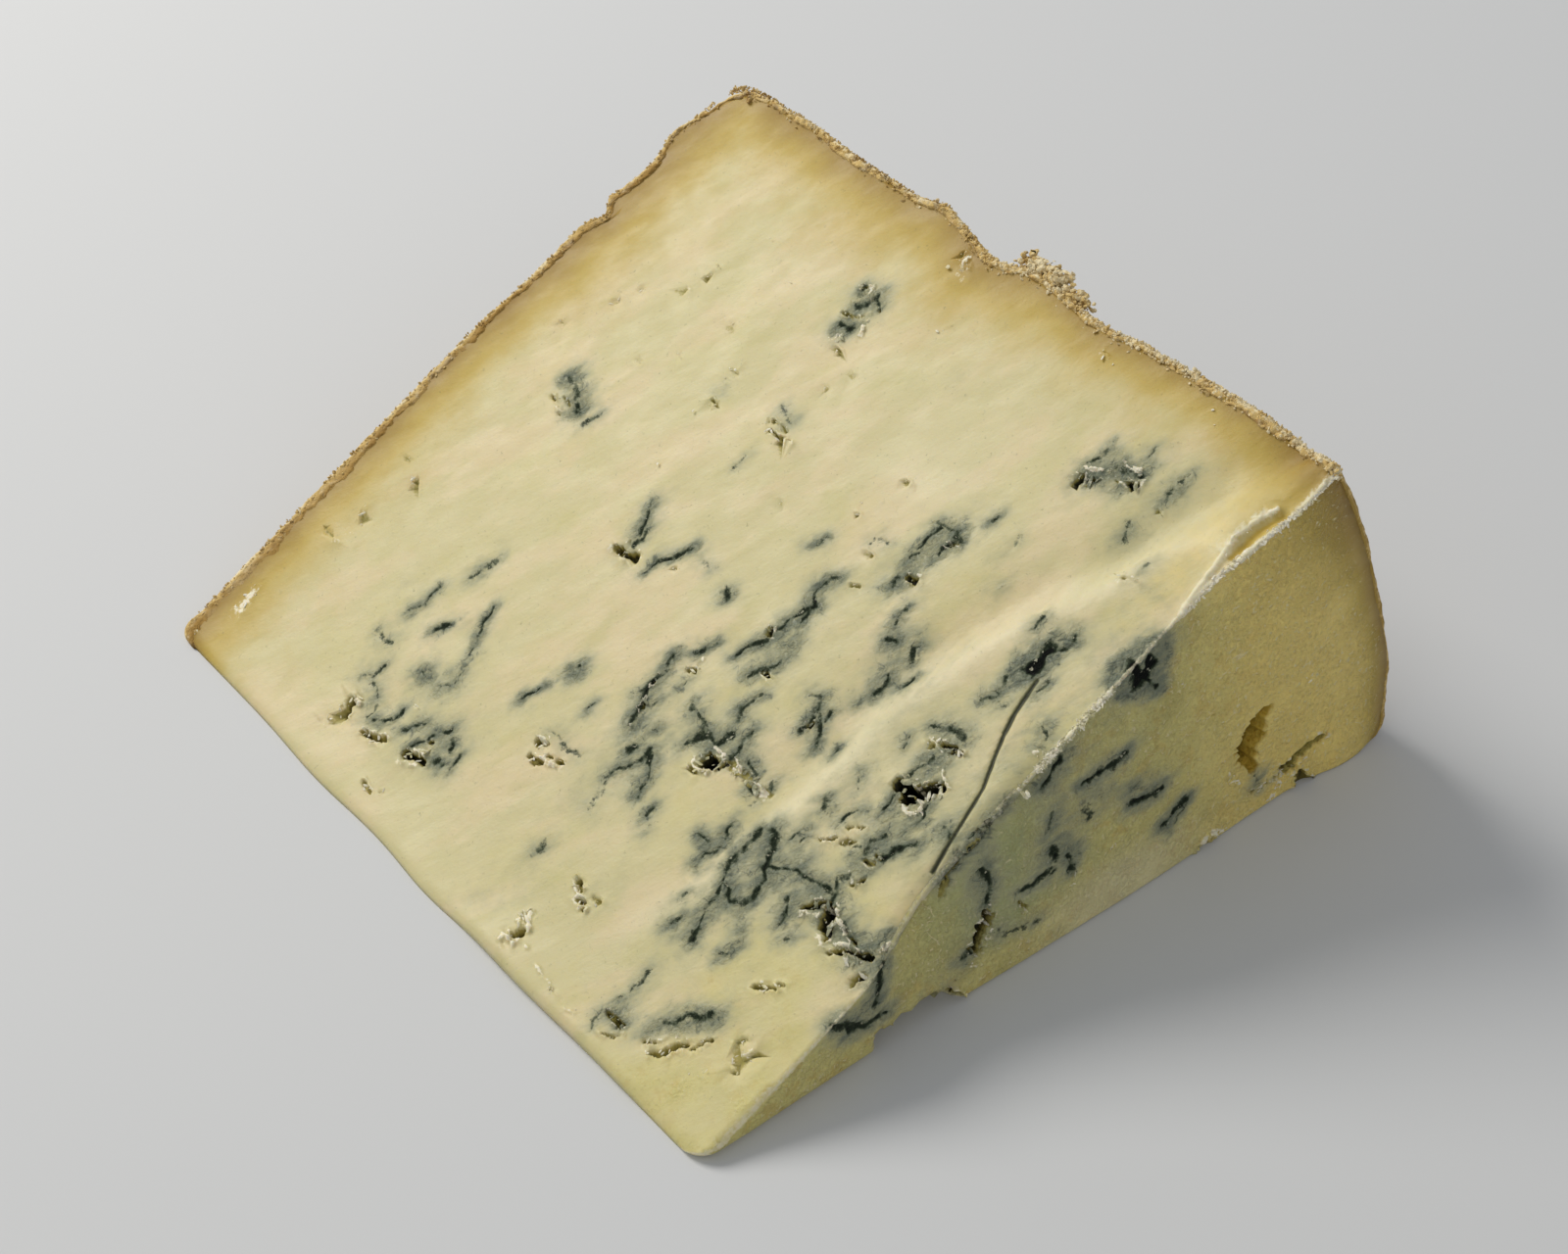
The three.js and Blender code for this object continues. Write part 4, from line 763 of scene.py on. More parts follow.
# Fresh cut of a moist, close-textured blue cheese: creamy and faintly translucent, waxy where the knife
# smeared it, grey-blue to near black where the mould grew, yellow and darker towards the dried rind.
def pasteMaterial():
    material, tree = newMaterial("cut blue cheese paste")
    place = addNode(tree, "ShaderNodeTexCoord").outputs["Object"]
    smear, drift = (
        addNode(tree, "ShaderNodeMapping", {"vector_type": "TEXTURE"}, {
            "Vector": place, "Rotation": (0, 0, math.radians(-22)), "Scale": (drawn, 1, 1)}).outputs[0]
        for drawn in (9, 3))
    amounts = readAmounts(tree, place, {
        "age": (6, 0.07), "olive": (9, 0.25), "shadow": (4, 0.15), "glow": (2, 0.1), "crest": (1, 0),
        "ridge": (0.6, 0.25), "cloud": (1.6, 0.1), "vein": (0.6, 0.22), "pit": (0.4, 0.12),
        "torn": (0.5, 0.25), "hollow": (1, 0.1), "crack": (1.5, 0.1)})
    olive, age, vein, pit = (amounts[name] for name in ("olive", "age", "vein", "pit"))

    # cream, with broad warm and greenish drifts and fine pale streaks where the knife dragged
    colour = coats(tree, linear("#cfc697"), [
        ("#d9caa0", patches(tree, drift, 9, 0.4, 0.67)),
        ("#c7bf89", patches(tree, drift, 5, 0.47, 0.72, 0.6)),
        ("#e9dfbd", patches(tree, smear, 0.9, 0.52, 0.8, 0.2)),
        ("#c4ba84", patches(tree, smear, 0.6, 0.55, 0.8, 0.15))])
    # sides that dried longer turned olive yellow, and the cut dries brown from the rind inwards
    scratched = patches(tree, place, 3, 0.52, 0.66, olive)
    colour = coats(tree, colour, [
        # the same coats darken the upper face's dull spots, partly painted shade in the hollow before the
        # ridge
        ("#d2c87e", olive, 0.0, 1.0, 0.95),
        ("#b2a866", patches(tree, place, 5, 0.42, 0.7, olive), 0.1, 1.0, 0.55),
        ("#bd9c4c", patches(tree, place, 2.2, 0.5, 0.64, olive), 0.1, 1.0, 0.35),
        ("#a9ae79", amounts["shadow"], 0.0, 1.0, 0.95),
        ("#f0d67e", amounts["glow"], 0.0, 1.0, 0.9),
        ("#bfa754", age, 0.05, 0.55),
        ("#a28640", age, 0.4, 0.88),
        ("#8a6a2c", age, 0.8, 1.02, 0.75),
        ("#8d7c42", patches(tree, place, 0.5, 0.5, 0.64, olive), 0.1, 1.0, 0.22),
        ("#e8dcac", patches(tree, place, 0.6, 0.56, 0.7, olive), 0.1, 0.9, 0.65),
        ("#e8dcae", threads(tree, place, 7, 0.012, scratched), 0.1, 0.8, 0.6),
        # painted highlight along the drag line's crest and a painted sheen disc, with a pale spot and the
        # fan face's pale foot
        ("#e8dfbc", amounts["crest"], 0.0, 1.0, 0.5)])
    # mould: a soft smeared cloud, thin dark threads in it, and the dark veins themselves
    streaky = patches(tree, smear, 1.1, 0.25, 0.75, 1.15, 0.7)
    cloudy = addNode(tree, "ShaderNodeMath", multiply, {0: amounts["cloud"], 1: streaky}).outputs[0]
    threaded = patches(tree, place, 2.2, 0.4, 0.62, cloudy)
    fibre = threads(tree, place, 1.3, 0.07, vein)
    colour = coats(tree, colour, [
        ("#a8a785", cloudy, 0.02, 0.7, 0.85),
        ("#70796a", cloudy, 0.4, 1.05, 0.85),
        ("#4c564b", threads(tree, place, 2.6, 0.05, threaded), 0.2, 0.7, 0.6),
        ("#e6e2cc", patches(tree, place, 0.5, 0.68, 0.76, cloudy), 0.15, 0.7, 0.7),
        ("#515b48", vein, 0.12, 0.55, 0.8),
        ("#29321f", fibre, 0.12, 0.35, 0.75),
        ("#1f291b", vein, 0.5, 0.85, 0.94),
        ("#070b07", vein, 1.0, 1.35),
        ("#63653f", amounts["crack"], 0.1, 0.5, 0.85),
        ("#2a2d1a", amounts["crack"], 0.35, 0.85, 0.9),
        ("#c9c7ae", patches(tree, place, 0.7, 0.6, 0.7, vein), 0.2, 0.7, 0.75)])
    # pits: painted olive for the light through the paste where shallow, painted shade to near black where
    # deep; torn edges dry white
    mouldy = addNode(tree, "ShaderNodeMath", multiply, {0: pit, 1: amounts["cloud"]}).outputs[0]
    colour = coats(tree, colour, [
        ("#a0954a", pit, 0.12, 0.45, 0.85),
        ("#6a5f22", pit, 0.6, 1.3, 0.85),
        ("#1c2014", mouldy, 0.3, 0.8, 0.9),
        ("#0c0e08", pit, 1.8, 2.6),
        # hollows: olive yellow inside, painted darker deeper in as shade
        ("#c6a944", amounts["hollow"], 0.1, 0.5),
        ("#947f28", amounts["hollow"], 1.2, 3.0),
        ("#e6dfc0", amounts["ridge"], 0.2, 0.75, 0.85),
        ("#f1ead2", amounts["torn"], 0.3, 0.7, 0.95)])

    # soft waves, the knife's drag, a fine grain, and curds where mould or drying loosened them
    loose = {0: amounts["cloud"], 1: olive}
    loose = addNode(tree, "ShaderNodeMath", {"operation": "MAXIMUM"}, loose).outputs[0]
    loose = {"Value": loose, "From Min": 0.55, "From Max": 1.0}
    loose = addNode(tree, "ShaderNodeMapRange", {}, loose).outputs["Result"]
    bump = None
    for height, strength, distance in (
            (patches(tree, drift, 2.4, 0.2, 0.8), 0.16, 0.0003),
            (patches(tree, smear, 0.5, 0.25, 0.75), 0.06, 0.0001),
            (patches(tree, place, 0.4, 0.2, 0.8), 0.1, 0.0001),
            (patches(tree, place, 0.6, 0.35, 0.7, loose), 0.8, 0.0003)):
        values = {"Strength": strength, "Distance": distance, "Height": height}
        if bump:
            values["Normal"] = bump
        bump = addNode(tree, "ShaderNodeBump", {}, values).outputs[0]
    # mould lets no light in, and is matte
    limits = {"Value": vein, "From Min": 0.2, "From Max": 0.6, "To Min": 0.3, "To Max": 0.02}
    clear = addNode(tree, "ShaderNodeMapRange", {}, limits).outputs["Result"]
    limits = {**limits, "To Min": 0.35, "To Max": 0.1}
    shine = addNode(tree, "ShaderNodeMapRange", {}, limits).outputs["Result"]
    shader = addNode(tree, "ShaderNodeBsdfPrincipled", {}, {
        "Base Color": colour, "Roughness": patches(tree, smear, 3, 0.3, 0.7, 0.6, 0.42),
        "IOR": 1.45,                       # fat and water at the cut
        "Subsurface Weight": clear, "Subsurface Radius": (1.0, 0.75, 0.4), "Subsurface Scale": 0.0009,
        "Specular IOR Level": shine, "Normal": bump})
    addNode(tree, "ShaderNodeOutputMaterial", {}, {"Surface": shader.outputs[0]})
    return material


# Dry natural rind: matte tan to ochre crust with brown furrows and a pale dusty bloom on what stands out.
def rindMaterial():
    material, tree = newMaterial("dry natural cheese rind")
    place = addNode(tree, "ShaderNodeTexCoord").outputs["Object"]
    amounts = readAmounts(tree, place, {
        "stand": (1.3, 0.35), "fringe": (0.8, 0.3), "seam": (1.0, 0.25), "bare": (1.2, 0.15)})

    colour = coats(tree, linear("#ae8d54"), [
        ("#c6a769", patches(tree, place, 14, 0.35, 0.65)),
        ("#957242", patches(tree, place, 5, 0.45, 0.7, 0.7)),
        ("#6f4f28", amounts["stand"], -0.05, -0.7, 0.8),
        ("#dcc9a0", amounts["stand"], 0.2, 0.7, 0.8),
        ("#d9cdae", patches(tree, place, 7, 0.52, 0.66, 0.4)),
        ("#8d8c7a", patches(tree, place, 9, 0.6, 0.72, 0.3)),
        ("#98742f", amounts["seam"], 0.4, 0.9, 0.5),
        ("#ab8f4a", amounts["bare"], 0.2, 0.8),
        ("#d8bb7a", amounts["fringe"], 0.25, 0.55, 0.9),
        ("#f0e2bc", amounts["fringe"], 0.6, 1.1, 0.9)])

    coarse = addNode(tree, "ShaderNodeBump", {}, {
        "Strength": 0.6, "Distance": 0.0004, "Height": patches(tree, place, 1.0, 0.2, 0.8)})
    fine = addNode(tree, "ShaderNodeBump", {}, {
        "Strength": 0.5, "Distance": 0.00015, "Height": patches(tree, place, 0.3, 0.2, 0.8),
        "Normal": coarse.outputs[0]})
    shader = addNode(tree, "ShaderNodeBsdfPrincipled", {}, {
        "Base Color": colour, "Roughness": 0.88, "IOR": 1.45, "Specular IOR Level": 0.25,
        "Normal": fine.outputs[0]})
    addNode(tree, "ShaderNodeOutputMaterial", {}, {"Surface": shader.outputs[0]})
    return material


paste = {
    "cuts": 39,
    "underRind": 1.05,                   # how far its rind sides lie under the rind's outside
    "underRim": 0.45,                    # the same, close to the cut faces
    "underRimFrom": (0.3, 2),            # distances from a cut face between which the two change over
    "markRings": (2.2, 1.3, 0.6, 0.15),  # how far round a mark each level of refining reaches
    "ridgeRings": (3.5, 2.5, 1.5, 0.5),
    "ridgeStart": 12,                    # each level refines the ridge from this much further out
    "rimRings": (3.5, 1.5, 0, 0),
    "edgeRings": (4, 2.5, 0.8, 0),       # along the tip edge and the fan face's foot
    "faceDepth": 0.5,                    # how close to a face counts as on it
    "fan": (0.5, 0.9),                   # how far a point faces the fan's way, from none of it to all
    "lowerFace": 0.01, "lowerDips": 0.5, # its height, and the share of its dips that is left
    "flatBelow": 1e-4,                   # what was lower than this lies on the table
}
# How strokes turn into marks. Layers of noise are (size, amount, seed), and the limits of their sum follow.
marking = {
    "wander": [(3.2, 0.45, 1), (1.1, 0.3, 2)],
    "cloudWander": 2, "lipWander": 0.4, "crackWander": 0.15,      # as shares of that
    "veinWidth": 0.66,                                            # of the dark core, against its stroke
    "veinSwell": ([(2.6, 0.9, 3), (0.9, 0.5, 13)], 0.45, 1.9),
    "veinStrength": ([(1.7, 0.5, 6), (0.55, 0.4, 14)], 0.45, 1.4, 1.1),
    "pitWidth": 0.92,
    "pitSwell": ([(1.2, 0.5, 4), (0.45, 0.45, 5)], 0.55, 1.6),
    "pitFloor": {"rough": 0.7, "smoother": 0.5, "deep": (1, 2), "grain": (0.5, 10), "limits": (0.3, 1.6)},
    "hollowSwell": ([(2.2, 0.5, 16), (0.8, 0.35, 17)], 0.6, 1.5),
    "pitWall": (0.6, 1.1), "hollowWall": (0.7, 1), "tornWall": (0.5, 1.2),
    "lipPlace": 1.35, "lipReach": 0.2,
    "cloudSmear": 0.45, "veinSmear": 0.35,                        # how far the knife drew the mould out
    "cloudSpread": 0.8, "veinCloud": 0.8, "cloudMost": 0.9,
}
squash = {"flake": (1, 0.4, 1), "floor": (1, 0.5, 1)}             # across the knife's way
knife = outward + np.array([0, -0.4, 0])
knifeWay = knife / np.linalg.norm(knife)


def pasteWanted(level):
    marks = veins + clouds if level == 0 else seenVeins + pits + torn + cracks + edgeLips + troughs + hollows
    ring = paste["markRings"][level]

    def within(distance, width, strength):
        return (distance < width + ring) * 1.0

    def wanted(base):
        points = shapeWedge(base, paste["underRind"])
        places = prismPlaces(base)
        chosen = strokeField(points, marks, (1, ring), within) > 0
        ridge = np.hypot(places["fromFan"], places["fromUpper"])
        chosen |= (ridge < paste["ridgeRings"][level]) & (places["fromTip"] > paste["ridgeStart"] * level)
        onUpperFace, onFanFace = (places[name] < paste["faceDepth"] for name in ("fromUpper", "fromFan"))
        chosen |= onUpperFace & (places["fromRind"] < paste["rimRings"][level])
        chosen |= onFanFace & (places["height"] < paste["edgeRings"][level])
        chosen |= places["fromTip"] < paste["edgeRings"][level]
        return chosen
    return wanted


# Squeezes space along the knife's way, so that what spreads evenly in it is smeared that way.
def squeezed(points, amount):
    return points - amount * (points @ knifeWay)[:, None] * knifeWay


# Bends the strokes: a mark shows where this shift brings a point onto its stroke.
def wander(points):
    return sum(amount * bumpVectors(points, size, seed) for size, amount, seed in marking["wander"])


# How strongly each kind of mark shows at each point of the paste.
def markAmounts(points):
    shift = wander(points)
    warped = points + shift
    lipped = points + marking["lipWander"] * shift
    swell = marking["veinWidth"] * varied(points, *marking["veinSwell"])
    ragged = marking["pitWidth"] * varied(points, *marking["pitSwell"])
    bulging = varied(points, *marking["hollowSwell"])
    smeared = {}
    for name, strokes in (("cloud", clouds), ("vein", veins)):
        smeared[name] = [(w, s, squeezed(path, marking[name + "Smear"])) for w, s, path in strokes]
    spread = squeezed(points + marking["cloudWander"] * shift, marking["cloudSmear"])
    broad = strokeField(spread, smeared["cloud"], (2, 0), hill(marking["cloudSpread"]))
    spread = squeezed(warped, marking["veinSmear"])
    close = strokeField(spread, smeared["vein"], (3, 3), hill(1, marking["veinCloud"]))
    pit = strokeField(warped, pits, (2.5, 0), walled(*marking["pitWall"]), ragged)
    floor = marking["pitFloor"]
    uneven = floor["rough"] - floor["smoother"] * smooth(pit, *floor["deep"])
    uneven = np.clip(1 + uneven * bumps(points * squash["floor"], *floor["grain"]), *floor["limits"])

    def beside(distance, width, strength):
        return min(strength, 1) * bell(distance - marking["lipPlace"] * width, marking["lipReach"])

    return {
        "vein": strokeField(warped, veins, (4, 0), hill(), swell) * varied(points, *marking["veinStrength"]),
        "crack": strokeField(points + marking["crackWander"] * shift, cracks, (4, 0), hill()),
        "cloud": 1 - (1 - marking["cloudMost"] * broad) * (1 - np.minimum(close, 1)),
        "pit": pit * uneven,
        "lip": strokeField(warped, pits, (3, 1), beside, ragged),
        "rise": strokeField(warped, torn, (2.5, 0), walled(*marking["tornWall"]), ragged),
        "edgeLip": strokeField(lipped, edgeLips, (4, 0), hill()),
        "trough": strokeField(lipped, troughs, (3, 0), hill()),
        "hollow": strokeField(warped, hollows, (2, 0), walled(*marking["hollowWall"]), bulging),
    }


# Amounts over the paste, each the sum of rows (amount, factor, ...). A factor is (smooth, along what, none
# at, all at) or (near, along what, middle, reach). Along u is away from the wheel's axis.
spreads = {
    "ridgeWidth": [(0.3,), (0.35, (near, "u", 41, 10)), (0.3, (smooth, "u", 74, 78))],
    "frayed": [(1, (smooth, "u", 50, 56))],
    "pressed": [(0.8, (smooth, "u", 24, 34), (smooth, "u", 60, 50), (smooth, "ridge", 2.8, 0))],
    # how far the drier paste reaches in from the round rind, from its rim on the fan face, and the flat rind
    "roundReach": [
        (5,), (1.8, (smooth, "y", -12, 2)), (1.3, (near, "y", 4, 14)), (2.5, (smooth, "y", -38, -50))],
    "fanReach": [(3,), (5, (smooth, "up", 0.5, 0.95))],
    "flatReach": [(5.9,), (2.6, (smooth, "u", 50, 75)), (1.5, (smooth, "u", 14, 6))],
    # greyer and more golden parts of the fan face, and the golden trough before the ridge
    "shadow": [
        (0.28, (smooth, "x", 74, 56), (smooth, "z", 2, 9)),
        (0.72, (smooth, "x", 74, 56), (smooth, "z", 2, 9), (near, "x", 41, 7))],
    "fanGlow": [(0.85, (smooth, "x", 60, 84)), (0.15, (smooth, "x", 60, 84), (near, "fromUpper", 0, 3.5))],
    "ridgeGlow": [(0.45, (smooth, "u", 66, 80), (near, "y", -46.5, 3.5))],
    # pale: the drag line's crest, painted as a highlight, two spots on the upper face, one a painted sheen
    # disc, and the fan face's foot
    "crest": [(1, (smooth, "u", 6, 18), (smooth, "u", 92, 78), (near, "past", -2.2, 2.4))],
    "pale": [(0.6, (near, "u", 73, 8), (near, "y", -14, 9))],
    "sheen": [(0.5, (smooth, "sheen", 5.2, 4))],
    "foot": [(0.9, (smooth, "z", 11, 3), (near, "x", 58, 12))],
    # dull and shaded: darker towards the corner at the tip, painted shade in the hollow before the ridge,
    # and other duller spots
    "dullAndShaded": [
        (0.85, (smooth, "y", -25, -52), (smooth, "u", 38, 4)),
        (0.5, (near, "u", 28, 7), (near, "y", -46, 6)),
        (0.5, (smooth, "u", 36, 44), (smooth, "u", 84, 78), (near, "y", -47.5, 3)),
        (0.25, (smooth, "y", -4, -26), (smooth, "u", 80, 50)),
        (0.2, (near, "u", 85, 5), (near, "y", 11, 5))],
}
# Middle of the painted sheen disc on the upper face.
sheenPlace = (81, 42)


def spreadOf(name, where):
    total = 0
    for amount, *factors in spreads[name]:
        for shape, along, first, second in factors:
            amount = amount * shape(where[along], first, second)
        total = total + amount
    return total


# Heights of the paste's relief: noise as (size, height, seed) or (size, seed), and how much each mark adds.
relief = {
    "rolling": [(14, 0.1, 7), (5, 0.06, 8)],
    "flake": (0.4, 2.0), "flakeGrain": (0.6, 11), "flakeLimits": (-0.4, 1.3),
    "mouldCloud": 0.6, "mouldGrain": (1.1, 9), "mouldRise": 0.1,
    "dips": {"pit": 1, "hollow": 1, "crack": 0.25, "trough": 0.35}, "veinDip": 0.12,
    "lipRise": 0.32, "ridgeRise": 0.12, "edgeLipRise": 0.3,
    "frayedRise": 0.4, "frayedGrain": (1.5, 12), "frayedGrainRise": 0.35,
    "frayedShare": ([(3, 1.2, 15)], 0.1, 1, 0.6),
}


# How far the paste stands out at each point, and the ridge, its frayed part and the flakes of torn paste.
def pasteRelief(points, places, marks, where):
    middle, gain = relief["flake"]
    flake = middle + gain * bumps(points * squash["flake"], *relief["flakeGrain"])
    flake = np.clip(flake, *relief["flakeLimits"])
    far, white = np.array(ridgeWhite).T
    ridge = bell(where["ridge"], spreadOf("ridgeWidth", where)) * np.interp(where["u"], far, white)
    ridge = np.maximum(ridge, marks["edgeLip"])
    frayed = ridge * spreadOf("frayed", where) * varied(points, *relief["frayedShare"])
    mouldy = np.clip(marks["vein"] + relief["mouldCloud"] * marks["cloud"], 0, 1)
    lift = layered(points, relief["rolling"]) - spreadOf("pressed", where)
    lift = lift + relief["mouldRise"] * mouldy * bumps(points, *relief["mouldGrain"])
    lift = lift - relief["veinDip"] * np.minimum(marks["vein"], 1)
    lift = lift - sum(depth * marks[name] for name, depth in relief["dips"].items())
    lift = lift + (marks["rise"] + relief["lipRise"] * marks["lip"]) * flake
    grain = relief["frayedGrainRise"] * bumps(points, *relief["frayedGrain"])
    lift = lift + frayed * (relief["frayedRise"] * flake + grain)
    lift = lift + relief["ridgeRise"] * ridge + relief["edgeLipRise"] * marks["edgeLip"]
    low = places["height"] < paste["lowerFace"]
    return np.where(low, np.minimum(lift, 0) * paste["lowerDips"], lift), ridge, frayed, flake


tones = {
    "flatAge": 0.95, "flatFrom": 1, "troughAge": 0.5, "troughHollow": 0.4, "dullAndShaded": 0.5,
    "pit": 0.95, "pitCloud": 0.7, "veinCover": 0.85, "shallowPit": 1.3,
    "rise": 2.4, "riseFlakes": 0.1, "frayed": 0.7, "lip": 0.6, "lipFlakes": 0.4,
}


# The amounts that the paste's colours read at each point.
def pasteTones(points, places, marks, where, facing, ridge, frayed, flake):
    x, y, z = points.T
    fan = smooth(-facing, *paste["fan"])
    u = where["u"]
    where = {
        **where, "x": x, "y": y, "z": z, "past": pastDragLine(u, y), "fromUpper": places["fromUpper"],
        "up": places["turn"] / wheel["turn"], "sheen": np.hypot(u - sheenPlace[0], y - sheenPlace[1]),
    }
    fromRound = np.maximum(roundRadius(y, places["turn"]) - np.hypot(x, z), 0)
    fromFlat = np.maximum(flatPlace(x, z) - y - tones["flatFrom"], 0)
    reach = spreadOf("roundReach", where) * (1 - fan) + spreadOf("fanReach", where) * fan
    age = np.exp(-fromRound / reach)
    age = np.maximum(age, tones["flatAge"] * np.exp(-fromFlat / spreadOf("flatReach", where)))
    glow = np.maximum(fan * spreadOf("fanGlow", where), (1 - fan) * spreadOf("ridgeGlow", where))
    # crest: painted highlight on the drag line's crest, the fan face's pale foot, a pale spot and a painted
    # sheen disc
    crest = np.maximum((1 - fan) * spreadOf("crest", where), fan * spreadOf("foot", where))
    crest = np.maximum(crest, np.maximum(spreadOf("pale", where), spreadOf("sheen", where)))
    pit, vein = marks["pit"], marks["vein"]
    # the pits' colour follows their depth, for painted shade and the light through the paste, and grows
    # where mould clouds them
    hue = pit * (tones["pit"] + tones["pitCloud"] * marks["cloud"])
    hue = hue * (1 - tones["veinCover"] * np.clip(vein, 0, 1) * (pit < tones["shallowPit"]))
    torn = np.maximum(tones["frayed"] * frayed, tones["lip"] * marks["lip"] * (flake > tones["lipFlakes"]))
    return {
        "vein": vein, "crack": marks["crack"], "cloud": marks["cloud"], "pit": hue,
        "crest": crest, "ridge": ridge,
        "age": np.maximum(age, tones["troughAge"] * marks["trough"]),
        # olive: the whole fan face, and the upper face's dull spots, partly painted shade before the ridge
        "olive": np.maximum(fan, tones["dullAndShaded"] * spreadOf("dullAndShaded", where)),
        "hollow": np.maximum(marks["hollow"], tones["troughHollow"] * marks["trough"]),
        "shadow": fan * spreadOf("shadow", where), "glow": glow,
        "torn": np.maximum(tones["rise"] * marks["rise"] * (flake > tones["riseFlakes"]), torn),
    }


def makePaste(material):
    bm = wedgePrism(paste["cuts"])
    for level in range(len(paste["markRings"])):
        refine(bm, pasteWanted(level))
        print("paste refined to", len(bm.faces), "faces")
    mesh = toMesh(bm, "cut_paste")
    base = meshPoints(mesh)
    places = prismPlaces(base)
    deeper = (paste["underRind"] - paste["underRim"]) * smooth(places["fromCut"], *paste["underRimFrom"])
    points = shapeWedge(base, paste["underRim"] + deeper)
    setPoints(mesh, points)
    normals = meshNormals(mesh)
    marks = markAmounts(points)
    u = np.hypot(points[:, 0], points[:, 2])
    where = {"u": u, "ridge": np.hypot(places["fromFan"], places["fromUpper"])}
    lift, ridge, frayed, flake = pasteRelief(points, places, marks, where)
    points = points + normals * lift[:, None]
    points[places["height"] < paste["flatBelow"], 2] = 0
    setAmounts(mesh, pasteTones(points, places, marks, where, normals[:, 1], ridge, frayed, flake))
    addPiece(mesh, points, material)


pasteSkin = pasteMaterial()
makePaste(pasteSkin)
print("paste made")


rind = {
    "cuts": 31,
    "rimRings": (4.5, 3.6, 2.8, 2.6),    # how far in from the rind the rim is refined
    "edgeRings": (6, 4, 2.5, 1.2),       # how far over the edge the outside is refined
    "fineLevel": 2,                      # the level from which only what lies near a shown edge is refined
    "faceDepth": 0.01,                   # how close to a face counts as on it
    "tuck": {"turn": 0.9, "towards": 0.45, "in": 4, "fromFan": 9},
    "knobs": ((9, 0.5), (4.2, 0.4), (1.9, 0.2), (0.9, 0.1)),   # size and height of each layer of knobs
    "knobSeed": 20, "knobTop": 0.45, "furrow": 1.9, "lowest": -0.7, "grain": [(0.45, 0.08, 30)],
    "edgeKnobs": 0.35, "edgeReach": 2.5,                       # how much of that is left at an edge
    "roundFrom": (92, 97), "roundTo": (53, 49),                # where the rim is that of the round rind
    "fanFrom": (1.5, 0.2), "belowUpper": (0.3, 1.5),           # and where it is that of the fan face
    "rimNoise": [(1.5, 0.3, 31), (0.7, 0.35, 32)], "flatRimNoise": 0.5,
    "rimLift": 0.14, "fanRimLift": 0.15,                       # how far the rim stands out of the cut
    "flatRim": 0.66, "roundRimLess": 0.21, "fanRimLess": 0.6,  # the rim's width, against the thickness
    "widthNoise": [(6, 0.5, 35), (3, 0.4, 33), (1.1, 0.3, 34)], "thinnest": 0.7, "innerSlope": 0.5,
    "skinDepth": 0.15, "clearance": 0.04,
    "fringe": {"reach": 0.6, "edge": 0.5, "middle": 1.0, "noise": [(5, 0.6, 37)]},
    "roundFringe": {"reach": 1.3, "edge": 0.6, "middle": 0.75, "noise": [(2.4, 0.5, 36)]},
    "rimStand": 0.15, "crumbStand": 0.7, "seamWidth": 0.6, "roundSeamLess": 0.7,
    "bareFrom": (0.1, 0.4), "bareBeside": (2.2, 0.5),
}


# The rind is a closed body. Its rim shows on the cut faces, and the rest of its cut sides lies under them.
def rindWanted(level):
    def wanted(base):
        places = prismPlaces(base)
        onRind = places["fromRind"] < rind["faceDepth"]
        shown = np.minimum(places["fromUpper"], places["fromFan"])
        rim = (places["fromCut"] < rind["faceDepth"]) & (places["fromRind"] < rind["rimRings"][level])
        if level >= rind["fineLevel"]:
            return ((shown < rind["faceDepth"]) & rim) | (onRind & (shown < rind["edgeRings"][level]))
        return rim | onRind
    return wanted


# Rounded knobs between narrow furrows.
def knobs(points, size, seed):
    return rind["knobTop"] - rind["furrow"] * np.abs(bumps(points, size, seed))


# Draws what lies further in than the rim together inside the wedge, clear of the deepest pit.
def tucked(base, amount):
    x, y, z = base.T
    tuck = rind["tuck"]
    turn = np.arctan2(z, x)
    turn = turn + tuck["turn"] * amount * (tuck["towards"] * wheel["turn"] - turn)
    out = np.hypot(x, z) - tuck["in"] * amount
    y = np.maximum(y - tuck["in"] * amount, wheel["fanY"] + tuck["fromFan"] * amount)
    return np.column_stack((out * np.cos(turn), y, out * np.sin(turn)))


# The pale broken edge of the rim.
def fringeAmount(form, points, places, deep):
    pale = layered(points, form["noise"], form["middle"])
    return bell(deep, form["reach"]) * pale * (places["fromCut"] < form["edge"])


